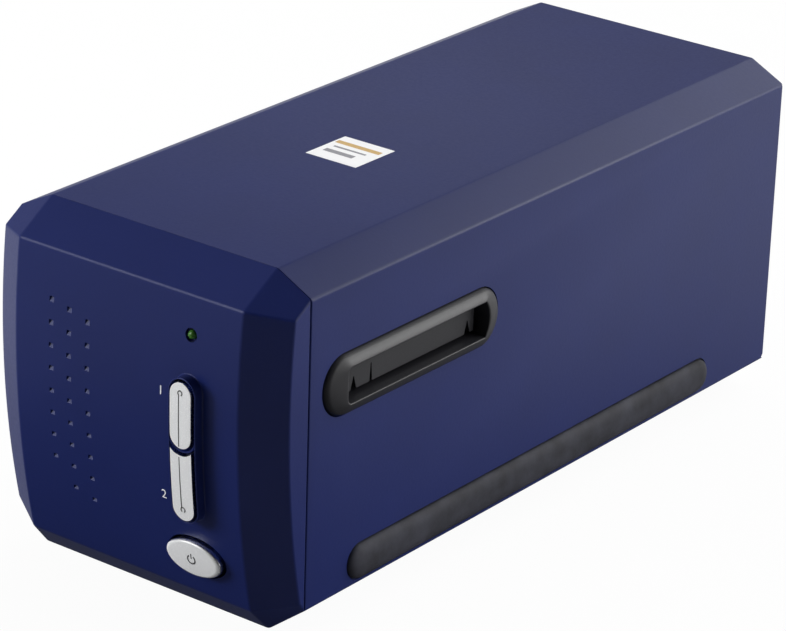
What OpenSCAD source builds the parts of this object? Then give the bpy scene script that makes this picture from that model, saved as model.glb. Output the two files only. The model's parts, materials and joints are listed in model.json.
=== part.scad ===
// Desktop scanner for 35 mm film: an eight-sided case with a barrel-curved front bezel,
// a film passage that crosses it from side to side, and a scan carriage that runs lengthways
// inside on a guide rod. Millimetres, +Z up, the front faces -Y, and the origin is on the
// surface that the feet stand on, under the middle of the whole scanner with its keys.

/* [Case] */
// Width across the flat sides of the case
case_w = 114.6; // [112:0.5:122]
// Length from the foremost line of the bezel to the rear rim
case_l = 272; // [266:1:282]
// Height of the flat top above the surface the feet stand on
case_h = 118.5; // [116:0.5:126]
// Wall thickness of the mouldings
wall = 2.5; // [2:0.1:3]
// How far each top edge bevel runs in from the side
top_bevel_w = 12.9; // [10:0.5:15]
// How far each top edge bevel drops below the top
top_bevel_h = 6.5; // [5:0.5:9]
// How far each bottom edge bevel runs in from the side
bottom_bevel_w = 12; // [10:0.5:13]
// How far each bottom edge bevel rises
bottom_bevel_h = 9.2; // [8:0.2:10]
// How far the feet stand below the case
foot_stand = 1.5; // [1:0.25:3]
// Radius of a foot
foot_r = 6; // [4:0.5:7]
// Open line between neighbouring mouldings
seam_gap = 0.3; // [0.2:0.05:0.5]
// Clearance around a piece that seats in another
fit_gap = 0.15; // [0.1:0.05:0.3]

/* [Front bezel] */
// Length of the bezel from its foremost line to the seam
bezel_d = 17; // [15:0.5:20]
// Radius of the barrel curve of the front face
barrel_r = 297; // [250:5:400]
// Height of the foremost line of the barrel curve
barrel_z = 75.2; // [70:0.5:80]
// Width of the front face between its side bevels
face_w = 88.2; // [84:0.5:92]
// How far the side bevels run back from the face
side_bevel_d = 8; // [6:0.5:9]
// Height of the face's top edge
face_top = 109.2; // [107:0.5:111]
// Height of the face's bottom edge
face_bottom = 10; // [8:0.5:12]
// How far the bezel's bottom edge stands ahead of the seam
chin = 2.2; // [1:0.2:3]
// How far the bezel's tongue reaches into the case
tongue_l = 6; // [4:0.5:8]
// Thickness of the tongue
tongue_t = 1.5; // [1:0.1:2]
// Height from one row of dimples to the next
dimple_pitch = 7.5; // [7:0.1:8]
// Width of a dimple
dimple_w = 1.2; // [0.8:0.1:1.6]
// Height of a dimple
dimple_h = 2.2; // [1.6:0.1:2.8]

/* [Controls] */
// Distance of the control column from the middle
control_x = 25.4; // [24:0.2:27]
// Radius of the keys' round ends
key_r = 4.3; // [3.8:0.1:4.6]
// Height of the upper key's top end
upper_key_top = 83.5; // [82:0.5:86]
// Height of the upper key's bottom end
upper_key_bottom = 61.6; // [60:0.5:64]
// Height of the lower key's bottom end
lower_key_bottom = 37.3; // [36:0.5:40]
// Gap between the two keys, with the bridge inside it
key_bridge = 1.9; // [1.8:0.1:2.4]
// Gap around each key
key_gap = 0.25; // [0.2:0.05:0.35]
// Rise of the key fronts above the face
key_rise = 4; // [3.5:0.1:5]
// Rise of the raised rim around the keys
rim_rise = 3.4; // [2.5:0.1:3.4]
// Wall of the raised rim outside the keys
rim_t = 0.7; // [0.5:0.1:1]
// Travel of the keys and the power button
key_travel = 0.6; // [0.4:0.1:0.8]
// Width of the oval power button
power_w = 21.4; // [19:0.2:23]
// Height of the oval power button
power_h = 12.2; // [11:0.2:13]
// Height of the power button's centre
power_z = 23.2; // [22:0.2:24]
// Rise of the power button's crown above the face
power_rise = 2.8; // [2:0.1:3.4]
// Gap around the power button
power_gap = 0.6; // [0.3:0.1:0.8]
// Radius of the status lamp's lens
led_r = 1.6; // [1.4:0.1:1.8]
// Height of the status lamp
led_z = 97; // [95:0.5:98]

/* [Film passage] */
// Distance of the passage's middle behind the seam
slot_back = 49.6; // [48:0.2:51]
// Height of the passage's middle
slot_z = 80; // [78:0.5:81]
// Length of the slot frames
frame_l = 87.5; // [86:0.5:92]
// Height of the slot frames
frame_h = 20.4; // [20:0.2:24]
// Rise of the slot frames above the case sides
frame_rise = 2.65; // [2:0.05:3]
// Length of the slot's mouth
mouth_l = 68; // [66:0.5:69]
// Height of the slot's mouth
mouth_h = 11.7; // [11:0.1:12]
// Bulge of the mouth's rear end
mouth_bulge = 2; // [1:0.25:2.5]
// Wall of the tunnel behind the mouth
tunnel_t = 1.6; // [1.2:0.1:2]
// How far the tunnel reaches inside the case's outer side
tunnel_in = 6; // [5.5:0.25:7]
// Thickness of the dust doors
door_t = 1.2; // [1:0.1:1.4]
// Gap around the dust doors
door_gap = 0.3; // [0.25:0.05:0.4]
// Gap under a closed dust door
door_lift = 1.2; // [0.4:0.1:1.6]
// Radius of the doors' hinge pins
door_pin_r = 0.6; // [0.5:0.05:0.7]
// Radius of the doors' hinge barrels
door_barrel_r = 1.1; // [1:0.05:1.2]
// Running clearance of shafts and pins in their bores, on the radius
run_gap = 0.05; // [0.03:0.01:0.08]

/* [Side grips] */
// Length of the rubber grips
grip_l = 197; // [190:1:205]
// Height of the rubber grips
grip_h = 11.6; // [10:0.2:12]
// Rise of the grips above the case sides
grip_rise = 2.2; // [1.5:0.1:2.6]
// Depth of the groove that a grip sits in
grip_sink = 0.8; // [0.5:0.1:1]

/* [Mechanism] */
// Travel of the scan carriage each way from its middle place
scan_half = 15; // [12:0.5:15]
// Height of the sheet metal chassis above the floor
chassis_z = 20; // [19.8:0.1:21]
// Thickness of the chassis sheet
sheet = 1.2; // [1:0.1:1.5]
// Radius of the guide rod
rod_r = 3; // [2.5:0.1:3.5]
// Radius of the support rod
support_r = 2; // [1.5:0.1:2.4]
// Outer radius of the carriage's bushes
bush_r = 5; // [4.5:0.1:5.5]
// Distance of the guide rod's axis from the inner wall
rod_room = 20.8; // [20.5:0.1:22]
// Distance from the tub's side to the guide rod's axis
tub_room = 9; // [8.5:0.25:10]
// Wall of the tub
tub_t = 2.2; // [1.8:0.1:2.5]
// Working radius of the belt pulleys
pulley_r = 6; // [5:0.25:7]
// Width of the drive belt
belt_w = 5; // [4:0.25:5.5]
// Thickness of the drive belt
belt_t = 1; // [0.8:0.1:1.2]
// Gap between the belt and what turns or moves beside it
belt_gap = 0.3; // [0.25:0.05:0.4]
// Radius of the stepper motor
motor_r = 15; // [13:0.5:16]
// Length of the stepper motor
motor_l = 17; // [14:0.5:18]
// Radius of the lens barrel
lens_r = 9; // [8:0.25:10]
// Thickness of the circuit boards
pcb = 1.6; // [1:0.2:1.6]

/* [Hidden] */

$fn = 48;
FAR = 400;
BLUE = "#2b3068";
BLACK = "#17181b";
RUBBER = "#1d1e20";
SILVER = "#c9cacc";
STEEL = "#a9adb3";
BRASS = "#b08d4a";
BOARD = "#1f5f3a";
GLASS = "#b9d3dc";

// Case planes
half_w = case_w / 2;
front_y = (key_rise - case_l) / 2;
rear_y = front_y + case_l;
mid_y = front_y + case_l / 2;
seam_y = front_y + bezel_d;
case_z = foot_stand;
side_lo = case_z + bottom_bevel_h;
inner_x = half_w - wall;
floor_z = case_z + wall;
barrel_y = front_y + barrel_r;
catch_r = 0.9;
catch_zs = [side_lo + 22, side_lo + 40];
grip_z = side_lo + 1.4 + grip_h / 2;
foot_x = half_w - bottom_bevel_w - foot_r - 3;
foot_ys = [seam_y + 14, rear_y - 22];
foot_seat = 0.8;
lip_root = 2.6;
lip_h = 1;
lug_r = 5;

// Controls
key_arc_z = upper_key_bottom + key_r;
flange_w = 0.7;
flange_t = 1.2;
flange_gap = 0.3;
board_y = seam_y - 2;
switch_w = 6;
switch_d = 3.5;
plunger_r = 1.6;
plunger_out = 1.2;
plunger_in = 2;
upper_key_z = (upper_key_top + upper_key_bottom) / 2;
lower_key_z = (lower_key_bottom + upper_key_bottom) / 2;
switch_zs = [upper_key_z, lower_key_z, power_z];
button_board_x = [control_x - 16, control_x + 16];
button_board_z = [power_z - 8, led_z + 5];
button_post_x = [button_board_x[0] + 3.5, button_board_x[1] - 3.5];
button_post_z = [lower_key_bottom + 4, upper_key_top + 4];
button_post_r = 2.8;

// Dimples: three columns, each a little lower than the one before
dimple_x = [-29.6, -22.4, -15];
dimple_top = [93.2, 91.7, 89.7];
dimple_count = [8, 9, 9];
dimple_depth = 0.8;
dimple_tilt = -25;

// Film passage
slot_y = seam_y + slot_back;
mouth_lo = slot_z - mouth_h / 2;
mouth_hi = slot_z + mouth_h / 2;
mouth_front = slot_y - mouth_l / 2;
mouth_rear = slot_y + mouth_l / 2;
tunnel_x = half_w - tunnel_in;
pivot_x = half_w - 2.5;
pivot_z = mouth_hi - door_gap - door_barrel_r;
spring_l = 5;
spring_wire = 0.3;
door_leg = 5;
track_gap = 0.2;
track_t = 1.5;
track_floor_t = 2.5;
track_floor = mouth_lo - 0.4;
track_front = mouth_front - track_gap;
track_rear = mouth_rear + track_gap;
track_x = tunnel_x - fit_gap;
track_post_x = inner_x - 7.3;
track_post_r = 3;
window_x = 20;
window_y = scan_half + 2;

// Detent that clicks the film holder from frame to frame
detent_x = 16;
detent_y = track_rear + track_t + 2.3;
detent_pin_r = 1;
detent_h = 6.4;
detent_t = 2;
detent_nose = 1;
detent_coil = 2.2;
detent_ear_t = 1.5;
detent_play = 0.3;
detent_zs = [slot_z - detent_h / 2, slot_z + detent_h / 2];

// Fasteners: radius of the thread and of the head, and the head's height
m3 = [1.5, 2.8, 1.8];
m25 = [1.25, 2.3, 1.5];
hole_gap = 0.1;
case_screw_x = half_w - 16;
case_screw_ys = [seam_y + 29, rear_y - 36];
lug_lo = side_lo + 1.3;
lug_hi = chassis_z - 0.5;
rear_screw_x = inner_x - 7.3;
rear_screw_z = slot_z - 20;
case_screw_head = case_z + 1;

// Chassis and rods
panel_y = rear_y - 1.5 - wall;
chassis_top = chassis_z + sheet;
chassis_x = inner_x - 6.8;
chassis_front = seam_y + 11;
chassis_rear = rear_y - 24;
chassis_post_x = inner_x - 13.8;
chassis_post_ys = [slot_y, rear_y - 66];
flange_h = 6;
guide_x = inner_x - rod_room;
tub_x = guide_x - tub_room;
guide_z = chassis_top + 14.8;
support_x = -(tub_x + 6.5);
support_z = chassis_top + 8.8;
guide_ys = [chassis_front + 2, rear_y - 30];
block_l = 8;

// Scan carriage, placed for the middle of its travel
optic_z = chassis_top + 21.8;
tub_lo = chassis_top + 4.8;
tub_hi = optic_z + 17;
motor_y = rear_y - 36;
motor_clear = 2.4;
tub_front = slot_y - 14.6;
tub_rear = motor_y - motor_r - motor_clear - pcb - scan_half;
lens_y = tub_rear - 62.4;
ear_ys = [tub_front + 24, tub_rear - 26];
support_ys = [tub_front + 24, tub_rear - 20];
ear_l = 12;
ear_r = bush_r + 2.5;
fork_y = (tub_front + tub_rear) / 2 + 1.6;
clamp_y = tub_rear - 56;
home_x = guide_x + bush_r + 3.8;
flag_l = 12;
mirror_l = 26;
mirror_t = 2;
arm_post_y = mouth_rear + scan_half + 8.4;
arm_z = mouth_hi + 14;
arm_x = tub_x - 3;
arm_t = 1.5;
sensor_w = 2 * (tub_x - 5);
sensor_h = 10;

// Belt drive on the left of the carriage
belt_x = -(tub_x + 15);
belt_z = optic_z + 1;
idler_y = slot_y - 20.6;
belt_run = belt_z + pulley_r + belt_gap / 2;
pulley_flange_r = pulley_r + belt_t + 1;
pulley_flange_t = 0.6;
shaft_r = 1.5;
plate_x = belt_x + belt_w / 2 + belt_gap + pulley_flange_t + belt_gap;

// Main board, under the chassis at the rear
main_board_z = floor_z + 3;
main_top = main_board_z + pcb;
main_x = 36;
main_front = rear_y - 104;
main_rear = panel_y - 2;
board_hole_ys = [main_front + 4, main_rear - 22];
usb_x = 14;
usb_w = 12;
inlet_x = -14;
inlet_w = 9;
socket_h = 11;
socket_gap = 0.3;
socket_back = 0.8;

// ---------------------------------------------------------------------------------------
// Shared shapes
// ---------------------------------------------------------------------------------------

// Inset t of a bevel w wide and h high: how far from the side plane the inset flat starts
function flat_from(w, h, t) = w + t * (sqrt(w * w + h * h) - w) / h;

// The same bevel seen from the side: how far from the flat the inset side starts
function side_from(w, h, t) = h + t * (sqrt(w * w + h * h) - h) / w;

// Right half of the case's cross-section, inset by t, from the top middle round to the bottom
function half_outline(t) = [
    [half_w - flat_from(top_bevel_w, top_bevel_h, t), case_h - t],
    [half_w - t, case_h - side_from(top_bevel_w, top_bevel_h, t)],
    [half_w - t, case_z + side_from(bottom_bevel_w, bottom_bevel_h, t)],
    [half_w - flat_from(bottom_bevel_w, bottom_bevel_h, t), case_z + t]];

function case_outline(t) = let (right = half_outline(t))
    concat(right, [for (i = [3:-1:0]) [-right[i][0], right[i][1]]]);

function unit(v) = v / norm(v);

// Place on the barrel curve at height z, risen by off
function face_y(z, off = 0) = barrel_y - sqrt(pow(barrel_r + off, 2) - pow(z - barrel_z, 2));

function ellipse(a, b, n = 60) = [for (i = [0:n - 1]) [a * cos(360 * i / n), b * sin(360 * i / n)]];

// Upright plate: a flat shape drawn in X and Z, from y0 to y1
module plate_y(y0, y1) {
    translate([0, y1, 0]) rotate([90, 0, 0]) linear_extrude(y1 - y0) children();
}

// Sideways plate: a flat shape drawn in Y and Z, from x0 to x1
module plate_x(x0, x1) {
    translate([x0, 0, 0]) rotate([90, 0, 90]) linear_extrude(x1 - x0) children();
}

// Block between two opposite corners
module block(a, b) {
    translate([for (i = [0:2]) min(a[i], b[i])]) cube([for (i = [0:2]) abs(b[i] - a[i])]);
}

// Rods along each axis, from one end to the other
module rod_x(r, x0, x1, y, z) { translate([x0, y, z]) rotate([0, 90, 0]) cylinder(r = r, h = x1 - x0); }

module rod_y(r, y0, y1, x, z) { translate([x, y1, z]) rotate([90, 0, 0]) cylinder(r = r, h = y1 - y0); }

module rod_z(r, z0, z1, x, y) { translate([x, y, z0]) cylinder(r = r, h = z1 - z0); }

// Flat pill between two heights, centred on x = 0
module pill(r, lo, hi) {
    translate([-r, lo + r]) square([2 * r, hi - lo - 2 * r]);
    for (z = [lo + r, hi - r]) translate([0, z]) circle(r = r);
}

// Length of the case between y0 and y1, inset by t
module case_prism(t, y0, y1) { plate_y(y0, y1) polygon(case_outline(t)); }

// Everything outside the plane through p that faces n, once the plane is moved in by t
module beyond(p, n, t) {
    u = unit(n);
    translate(p - u * t) rotate([0, acos(u[2]), atan2(u[1], u[0])])
        translate([-FAR, -FAR, 0]) cube(2 * FAR);
}

// Disc of the barrel curve, risen by off
module barrel(off) { rod_x(barrel_r + off, -half_w, half_w, barrel_y, barrel_z); }

// The barrel curve with its side bevels, inset by t
module bevelled_barrel(t) {
    w = half_w - face_w / 2;
    lens = [[0, 0], [barrel_r - t, 0], [barrel_r - t, half_w - flat_from(w, side_bevel_d, t)],
        [barrel_r - side_from(w, side_bevel_d, t) - 2 * side_bevel_d, half_w - t + 2 * w],
        [0, half_w - t + 2 * w]];
    for (s = [0, 1]) mirror([s, 0, 0])
        translate([0, barrel_y, barrel_z]) rotate([0, 90, 0]) rotate_extrude($fn = 180) polygon(lens);
}

// Outside form of the bezel, inset by t and cut off at y_end
module bezel_form(t, y_end) {
    top = [half_w - top_bevel_w, seam_y, case_h];
    shoulder = [half_w, seam_y, case_h - top_bevel_h];
    brow = [face_w / 2, face_y(face_top), face_top];
    hip = [half_w, seam_y, side_lo];
    heel = [half_w - bottom_bevel_w, seam_y - chin, case_z];
    jaw = [face_w / 2, face_y(face_bottom), face_bottom];
    difference() {
        intersection() {
            case_prism(t, front_y - 1, y_end);
            bevelled_barrel(t);
        }
        beyond(top, cross([1, 0, 0], top - brow), t);
        beyond(heel, cross([1, 0, 0], jaw - heel), t);
        for (s = [0, 1]) mirror([s, 0, 0]) {
            beyond(top, cross(brow - top, shoulder - top), t);
            beyond(hip, cross(hip - heel, jaw - heel), t);
        }
    }
}

// Stadium lying in Y and Z with a rounded shoulder, standing out of the plane x = 0
module pillow(length, height, rise, shoulder) {
    steps = 10;
    r = height / 2;
    half = [for (i = [0:steps]) let (a = 90 * i / steps)
        [r - shoulder * (1 - cos(a)), rise * sin(a)]];
    for (y = [-1, 1]) translate([0, y * (length / 2 - r), 0]) rotate([0, 90, 0])
        rotate_extrude() polygon(concat([[0, 0]], half, [[0, rise]]));
    for (s = [0, 1]) mirror([0, 0, s]) translate([0, length / 2 - r, 0]) rotate([90, 0, 0])
        linear_extrude(length - 2 * r)
            polygon(concat([[0, 0]], [for (p = half) [p[1], p[0]]], [[rise, 0]]));
}

// Stadium in Y and Z, centred on the origin
module stadium(length, height) {
    r = height / 2;
    square([length - 2 * r, height], center = true);
    for (s = [-1, 1]) translate([s * (length / 2 - r), 0]) circle(r = r);
}

// Cap screw along +Z with its head under the origin
module screw(size, length) {
    cylinder(r = size[0], h = length);
    mirror([0, 0, 1]) difference() {
        cylinder(r = size[1], h = size[2]);
        translate([0, 0, size[2] / 2]) cylinder(r = size[0] * 0.75, h = size[2], $fn = 6);
    }
}

// Points of a coil that climbs by rise, starts at angle 0 and ends at 90 degrees
function coil(r, turns, rise, steps = 12) = let (n = steps * turns + steps / 4)
    [for (i = [0:n]) [r * cos(360 * i / steps), r * sin(360 * i / steps), rise * (1 - i / n)]];

// Eight points around p, square to the way to q
function ring(p, q, r) = let (t = unit(q - p), a = unit(cross(t, [0.31, 0.87, 0.39])), b = cross(t, a))
    [for (k = [0:7]) p + r * (a * cos(45 * k) + b * sin(45 * k))];

// Wire along a list of points
module wire(path, r) {
    n = len(path);
    rings = [for (i = [0:n - 1])
        i < n - 1 ? ring(path[i], path[i] + (path[i + 1] - path[max(i - 1, 0)]), r)
                  : ring(path[i], path[i] + (path[i] - path[i - 1]), r)];
    faces = concat([[for (k = [0:7]) k]],
        [for (i = [0:n - 2], k = [0:7]) [8 * i + k, 8 * (i + 1) + k, 8 * (i + 1) + (k + 1) % 8]],
        [for (i = [0:n - 2], k = [0:7]) [8 * i + k, 8 * (i + 1) + (k + 1) % 8, 8 * i + (k + 1) % 8]],
        [[for (k = [7:-1:0]) 8 * (n - 1) + k]]);
    polyhedron(points = [for (r = rings, p = r) p], faces = faces);
}

// ---------------------------------------------------------------------------------------
// Case
// ---------------------------------------------------------------------------------------

module slot_cut(extra) {
    translate([slot_y, slot_z]) polygon([
        for (p = [[-1, -1], [1, -1], [1, 1], [-1, 1]])
            [p[0] * (mouth_l / 2 + tunnel_t + extra) + (p[0] > 0 ? mouth_bulge : 0),
             p[1] * (mouth_h / 2 + tunnel_t + extra)]]);
}

module top_cover() {
    y0 = seam_y + seam_gap / 2;
    color(BLUE) difference() {
        union() {
            difference() {
                case_prism(0, y0, rear_y);
                case_prism(wall, y0 - 1, rear_y + 1);
                block([-FAR, -FAR, -FAR], [FAR, FAR, side_lo + seam_gap / 2]);
                // Straight inner face where the tray's lips stand
                block([-inner_x, -FAR, -FAR], [inner_x, FAR, side_lo + lip_h + 2]);
            }
            for (s = [0, 1], y = case_screw_ys) mirror([s, 0, 0])
                block([case_screw_x - lug_r, y - lug_r, lug_lo], [inner_x + 0.5, y + lug_r, lug_hi]);
            for (s = [0, 1]) mirror([s, 0, 0])
                block([rear_screw_x - lug_r + 1, panel_y - 2 * lug_r, rear_screw_z - lug_r],
                    [inner_x + 0.5, panel_y, rear_screw_z + lug_r]);
        }
        for (s = [0, 1]) mirror([s, 0, 0]) {
            plate_x(inner_x - 1, half_w + 1) slot_cut(fit_gap);
            plate_x(half_w - grip_sink, half_w + 1)
                translate([mid_y, grip_z]) stadium(grip_l + 2 * fit_gap, grip_h + 2 * fit_gap);
            rod_z(catch_r + fit_gap, catch_zs[0] - fit_gap, catch_zs[1] + fit_gap,
                inner_x - fit_gap, seam_y + tongue_l / 2);
            for (y = case_screw_ys) rod_z(m3[0], lug_lo - 1, lug_hi - 1, case_screw_x, y);
            rod_y(m3[0], panel_y - 8, panel_y + 1, rear_screw_x, rear_screw_z);
        }
    }
}

module base_tray() {
    y0 = seam_y + seam_gap / 2;
    color(BLUE) difference() {
        union() {
            difference() {
                case_prism(0, y0, rear_y);
                case_prism(wall, y0 - 1, rear_y + 1);
                block([-FAR, -FAR, side_lo - seam_gap / 2], [FAR, FAR, FAR]);
            }
            // Locating lips that stand up inside the cover, and bosses for the case screws
            intersection() {
                case_prism(wall / 2, seam_y + tongue_l + 8, panel_y - 14);
                for (s = [0, 1]) mirror([s, 0, 0]) {
                    block([inner_x - fit_gap - tongue_t, -FAR, side_lo - lip_root],
                        [inner_x - fit_gap, FAR, side_lo + lip_h]);
                    for (y = case_screw_ys)
                        rod_z(lug_r - 0.5, case_z - 1, lug_lo - fit_gap, case_screw_x, y);
                }
            }
            for (s = [0, 1]) mirror([s, 0, 0]) {
                for (y = chassis_post_ys) rod_z(4, case_z + 0.5, chassis_z, chassis_post_x, y);
                for (y = board_hole_ys) rod_z(3, case_z + 0.5, main_board_z, main_x - 4, y);
            }
        }
        for (s = [0, 1]) mirror([s, 0, 0]) {
            for (y = case_screw_ys) {
                rod_z(m3[0], case_z - 1, lug_lo + 1, case_screw_x, y);
                rod_z(m3[1] + 0.4, case_z - 1, case_screw_head + m3[2], case_screw_x, y);
            }
            for (y = chassis_post_ys) rod_z(m3[0], chassis_z - 8, chassis_z + 1, chassis_post_x, y);
            for (y = board_hole_ys) rod_z(m25[0], floor_z - 1, main_board_z + 1, main_x - 4, y);
            for (y = foot_ys) rod_z(foot_r + fit_gap, case_z - 1, case_z + foot_seat, foot_x, y);
            // Notches in the lips, so that the cover's lugs pass
            for (y = case_screw_ys)
                block([case_screw_x, y - lug_r - 1, lug_lo - seam_gap],
                    [inner_x + 1, y + lug_r + 1, side_lo + lug_r]);
        }
    }
}

module feet() {
    color(RUBBER) for (s = [-1, 1], y = foot_ys) rod_z(foot_r, 0, case_z + foot_seat, s * foot_x, y);
}

module rear_panel() {
    outlet_z = [main_top - socket_gap, main_top + socket_h + socket_gap];
    color(BLUE) difference() {
        case_prism(wall + fit_gap, panel_y, panel_y + wall);
        for (s = [-1, 1]) rod_y(m3[0] + hole_gap, panel_y - 1, rear_y, s * rear_screw_x, rear_screw_z);
        for (s = [-1, 1]) rod_y(m3[1] + 0.3, panel_y + 1, rear_y, s * rear_screw_x, rear_screw_z);
        for (c = [[usb_x, usb_w / 2 + socket_gap], [inlet_x, inlet_w / 2 + socket_gap]])
            block([c[0] - c[1], panel_y - 1, outlet_z[0]], [c[0] + c[1], rear_y, outlet_z[1]]);
        // Two banks of cooling slots
        for (s = [-1, 1], i = [0:7]) plate_y(panel_y - 1, rear_y)
            translate([s * 20, slot_z - 12 + 5 * i]) square([26, 1.8], center = true);
    }
}

module front_bezel() {
    back = seam_y - seam_gap / 2;
    color(BLUE) difference() {
        union() {
            difference() {
                bezel_form(0, back);
                bezel_form(wall, back + 1);
            }
            // Tongue that slides into the case, and the shoulder that joins it to the shell
            difference() {
                union() {
                    case_prism(wall + fit_gap, back - 1, seam_y + tongue_l);
                    intersection() {
                        case_prism(wall / 2, back - 6, back);
                        bezel_form(wall / 2, back);
                    }
                }
                case_prism(wall + fit_gap + tongue_t, back - 7, seam_y + tongue_l + 1);
            }
            // Catches that snap into the cover
            for (s = [-1, 1])
                rod_z(catch_r, catch_zs[0], catch_zs[1], s * (inner_x - fit_gap), seam_y + tongue_l / 2);
            // Raised rim around the two keys
            intersection() {
                difference() {
                    barrel(rim_rise);
                    barrel(-wall / 2);
                }
                plate_y(front_y - 10, seam_y) translate([control_x, 0])
                    pill(key_r + key_gap + rim_t, lower_key_bottom - key_gap - rim_t,
                        upper_key_top + key_gap + rim_t);
            }
            // Posts for the button board
            intersection() {
                bezel_form(wall / 2, back);
                for (x = button_post_x, z = button_post_z)
                    rod_y(button_post_r, front_y, board_y, x, z);
            }
        }
        plate_y(front_y - 10, board_y + 1) translate([control_x, 0]) {
            upper_outline(key_gap);
            lower_outline(key_gap);
            translate([0, power_z]) polygon(ellipse(power_w / 2 + power_gap, power_h / 2 + power_gap));
        }
        rod_y(led_r + run_gap, front_y - 1, board_y, control_x, led_z);
        rod_y(led_r + 0.65, front_y - 1, face_y(led_z) + 1.2, control_x, led_z);
        for (x = button_post_x, z = button_post_z) rod_y(m25[0], board_y - 6, board_y + 1, x, z);
        for (c = [0:2], i = [0:dimple_count[c] - 1]) {
            z = dimple_top[c] - i * dimple_pitch;
            translate([dimple_x[c], face_y(z), z]) rotate([dimple_tilt, 0, 0])
                cube([dimple_w, 2 * dimple_depth, dimple_h], center = true);
        }
    }
}

module slot_frame() {
    crest_w = 0.9;
    difference() {
        union() {
            translate([half_w, slot_y, slot_z])
                pillow(frame_l, frame_h, frame_rise, (frame_h - mouth_h) / 2 - crest_w);
            plate_x(tunnel_x, half_w + 0.5) slot_cut(0);
        }
        plate_x(tunnel_x - 1, half_w + frame_rise + 1) mouth();
        door_pin();
    }
}

// Opening of the slot: straight, with a slightly bulged rear end
module mouth() {
    bulge_r = (mouth_h * mouth_h / 4 + mouth_bulge * mouth_bulge) / (2 * mouth_bulge);
    translate([mouth_front, mouth_lo]) square([mouth_l, mouth_h]);
    intersection() {
        translate([mouth_rear - 1, mouth_lo]) square([mouth_bulge + 2, mouth_h]);
        translate([mouth_rear + mouth_bulge - bulge_r, slot_z]) circle(r = bulge_r);
    }
}

module dust_door() {
    y0 = mouth_front + door_gap;
    y1 = mouth_rear - door_gap;
    low = mouth_lo + door_lift;
    // Pointed cuts in the lower edge: place, half width and height
    cuts = [[y0 + 7.4, 1.4, 4.2], [y0 + 15.8, 0.6, 6], [y1 - 3.4, 1.4, 4.2]];
    difference() {
        union() {
            block([pivot_x - door_t / 2, y0, low], [pivot_x + door_t / 2, y1, pivot_z]);
            rod_y(door_barrel_r, y0, y1 - spring_l, pivot_x, pivot_z);
        }
        rod_y(door_pin_r + run_gap, y0 - 1, y1 + 1, pivot_x, pivot_z);
        // Clear the spring at the rear end of the hinge
        rod_y(door_barrel_r + 0.35, y1 - spring_l, y1 + 1, pivot_x, pivot_z);
        for (c = cuts) plate_x(0, half_w) translate([c[0], low])
            polygon([[-c[1], 0], [-c[1], -1], [c[1], -1], [c[1], 0], [0.15, c[2]], [-0.15, c[2]]]);
    }
}

// Held in blind bores in the tunnel's end walls
module door_pin() {
    rod_y(door_pin_r, mouth_front - tunnel_t / 2, mouth_rear + mouth_bulge + tunnel_t / 2,
        pivot_x, pivot_z);
}

// Coil around the pin, with one leg down the door's outer face (side 1) or inner face (side -1)
module door_spring(side) {
    r = door_pin_r + run_gap + spring_wire * 0.7;
    run = spring_l - 3 * spring_wire;
    path = concat(coil(r, 4, run), [[-1, r, 0], [-door_leg, r, 0]]);
    translate([pivot_x, mouth_rear - door_gap - spring_wire - run, pivot_z])
        wire([for (p = path) [side * p[1], p[2], p[0]]], spring_wire / 2);
}

module slot_frame_right() { color(BLACK) slot_frame(); }
module slot_frame_left() { color(BLACK) mirror([1, 0, 0]) slot_frame(); }
module dust_door_right() { color(BLACK) dust_door(); }
module dust_door_left() { color(BLACK) mirror([1, 0, 0]) dust_door(); }
module door_pin_right() { color(STEEL) door_pin(); }
module door_pin_left() { color(STEEL) mirror([1, 0, 0]) door_pin(); }
module door_spring_right() { color(STEEL) door_spring(-1); }
module door_spring_left() { color(STEEL) mirror([1, 0, 0]) door_spring(1); }

module side_grip() {
    translate([half_w, mid_y, grip_z]) pillow(grip_l, grip_h, grip_rise, grip_rise);
    plate_x(half_w - grip_sink, half_w) translate([mid_y, grip_z]) stadium(grip_l, grip_h);
}

module side_grip_right() { color(RUBBER) side_grip(); }
module side_grip_left() { color(RUBBER) mirror([1, 0, 0]) side_grip(); }

module top_label() {
    side = 20;
    y = slot_y + 40.4;
    color("white") block([-side / 2, y - side / 2, case_h], [side / 2, y + side / 2, case_h + 0.12]);
}

// ---------------------------------------------------------------------------------------
// Controls
// ---------------------------------------------------------------------------------------

module upper_outline(grow) { pill(key_r + grow, upper_key_bottom - grow, upper_key_top + grow); }

// The lower key's top end is hollowed to follow the round end of the upper key
module lower_outline(grow) {
    difference() {
        pill(key_r + grow, lower_key_bottom - grow, key_arc_z + key_r);
        translate([0, key_arc_z]) circle(r = key_r + key_bridge - grow);
        translate([-FAR, key_arc_z - key_r]) square([2 * FAR, FAR]);
    }
}

// Cap, retaining flange behind the face, and stem down to the switch
module button(rise, z) {
    tip = board_y - switch_d - plunger_out;
    intersection() {
        difference() {
            barrel(rise);
            barrel(-wall - flange_gap - flange_t);
        }
        plate_y(front_y - 10, seam_y) translate([control_x, 0]) children(0);
    }
    intersection() {
        difference() {
            barrel(-wall - flange_gap);
            barrel(-wall - flange_gap - flange_t);
        }
        plate_y(front_y, seam_y) translate([control_x, 0]) children(1);
    }
    rod_y(2, face_y(z, -wall - flange_gap - flange_t / 2), tip, control_x, z);
}

module upper_key() {
    color(SILVER) button(key_rise, upper_key_z) {
        upper_outline(0);
        upper_outline(flange_w);
    }
}

module lower_key() {
    color(SILVER) button(key_rise, lower_key_z) {
        lower_outline(0);
        lower_outline(flange_w);
    }
}

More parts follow.
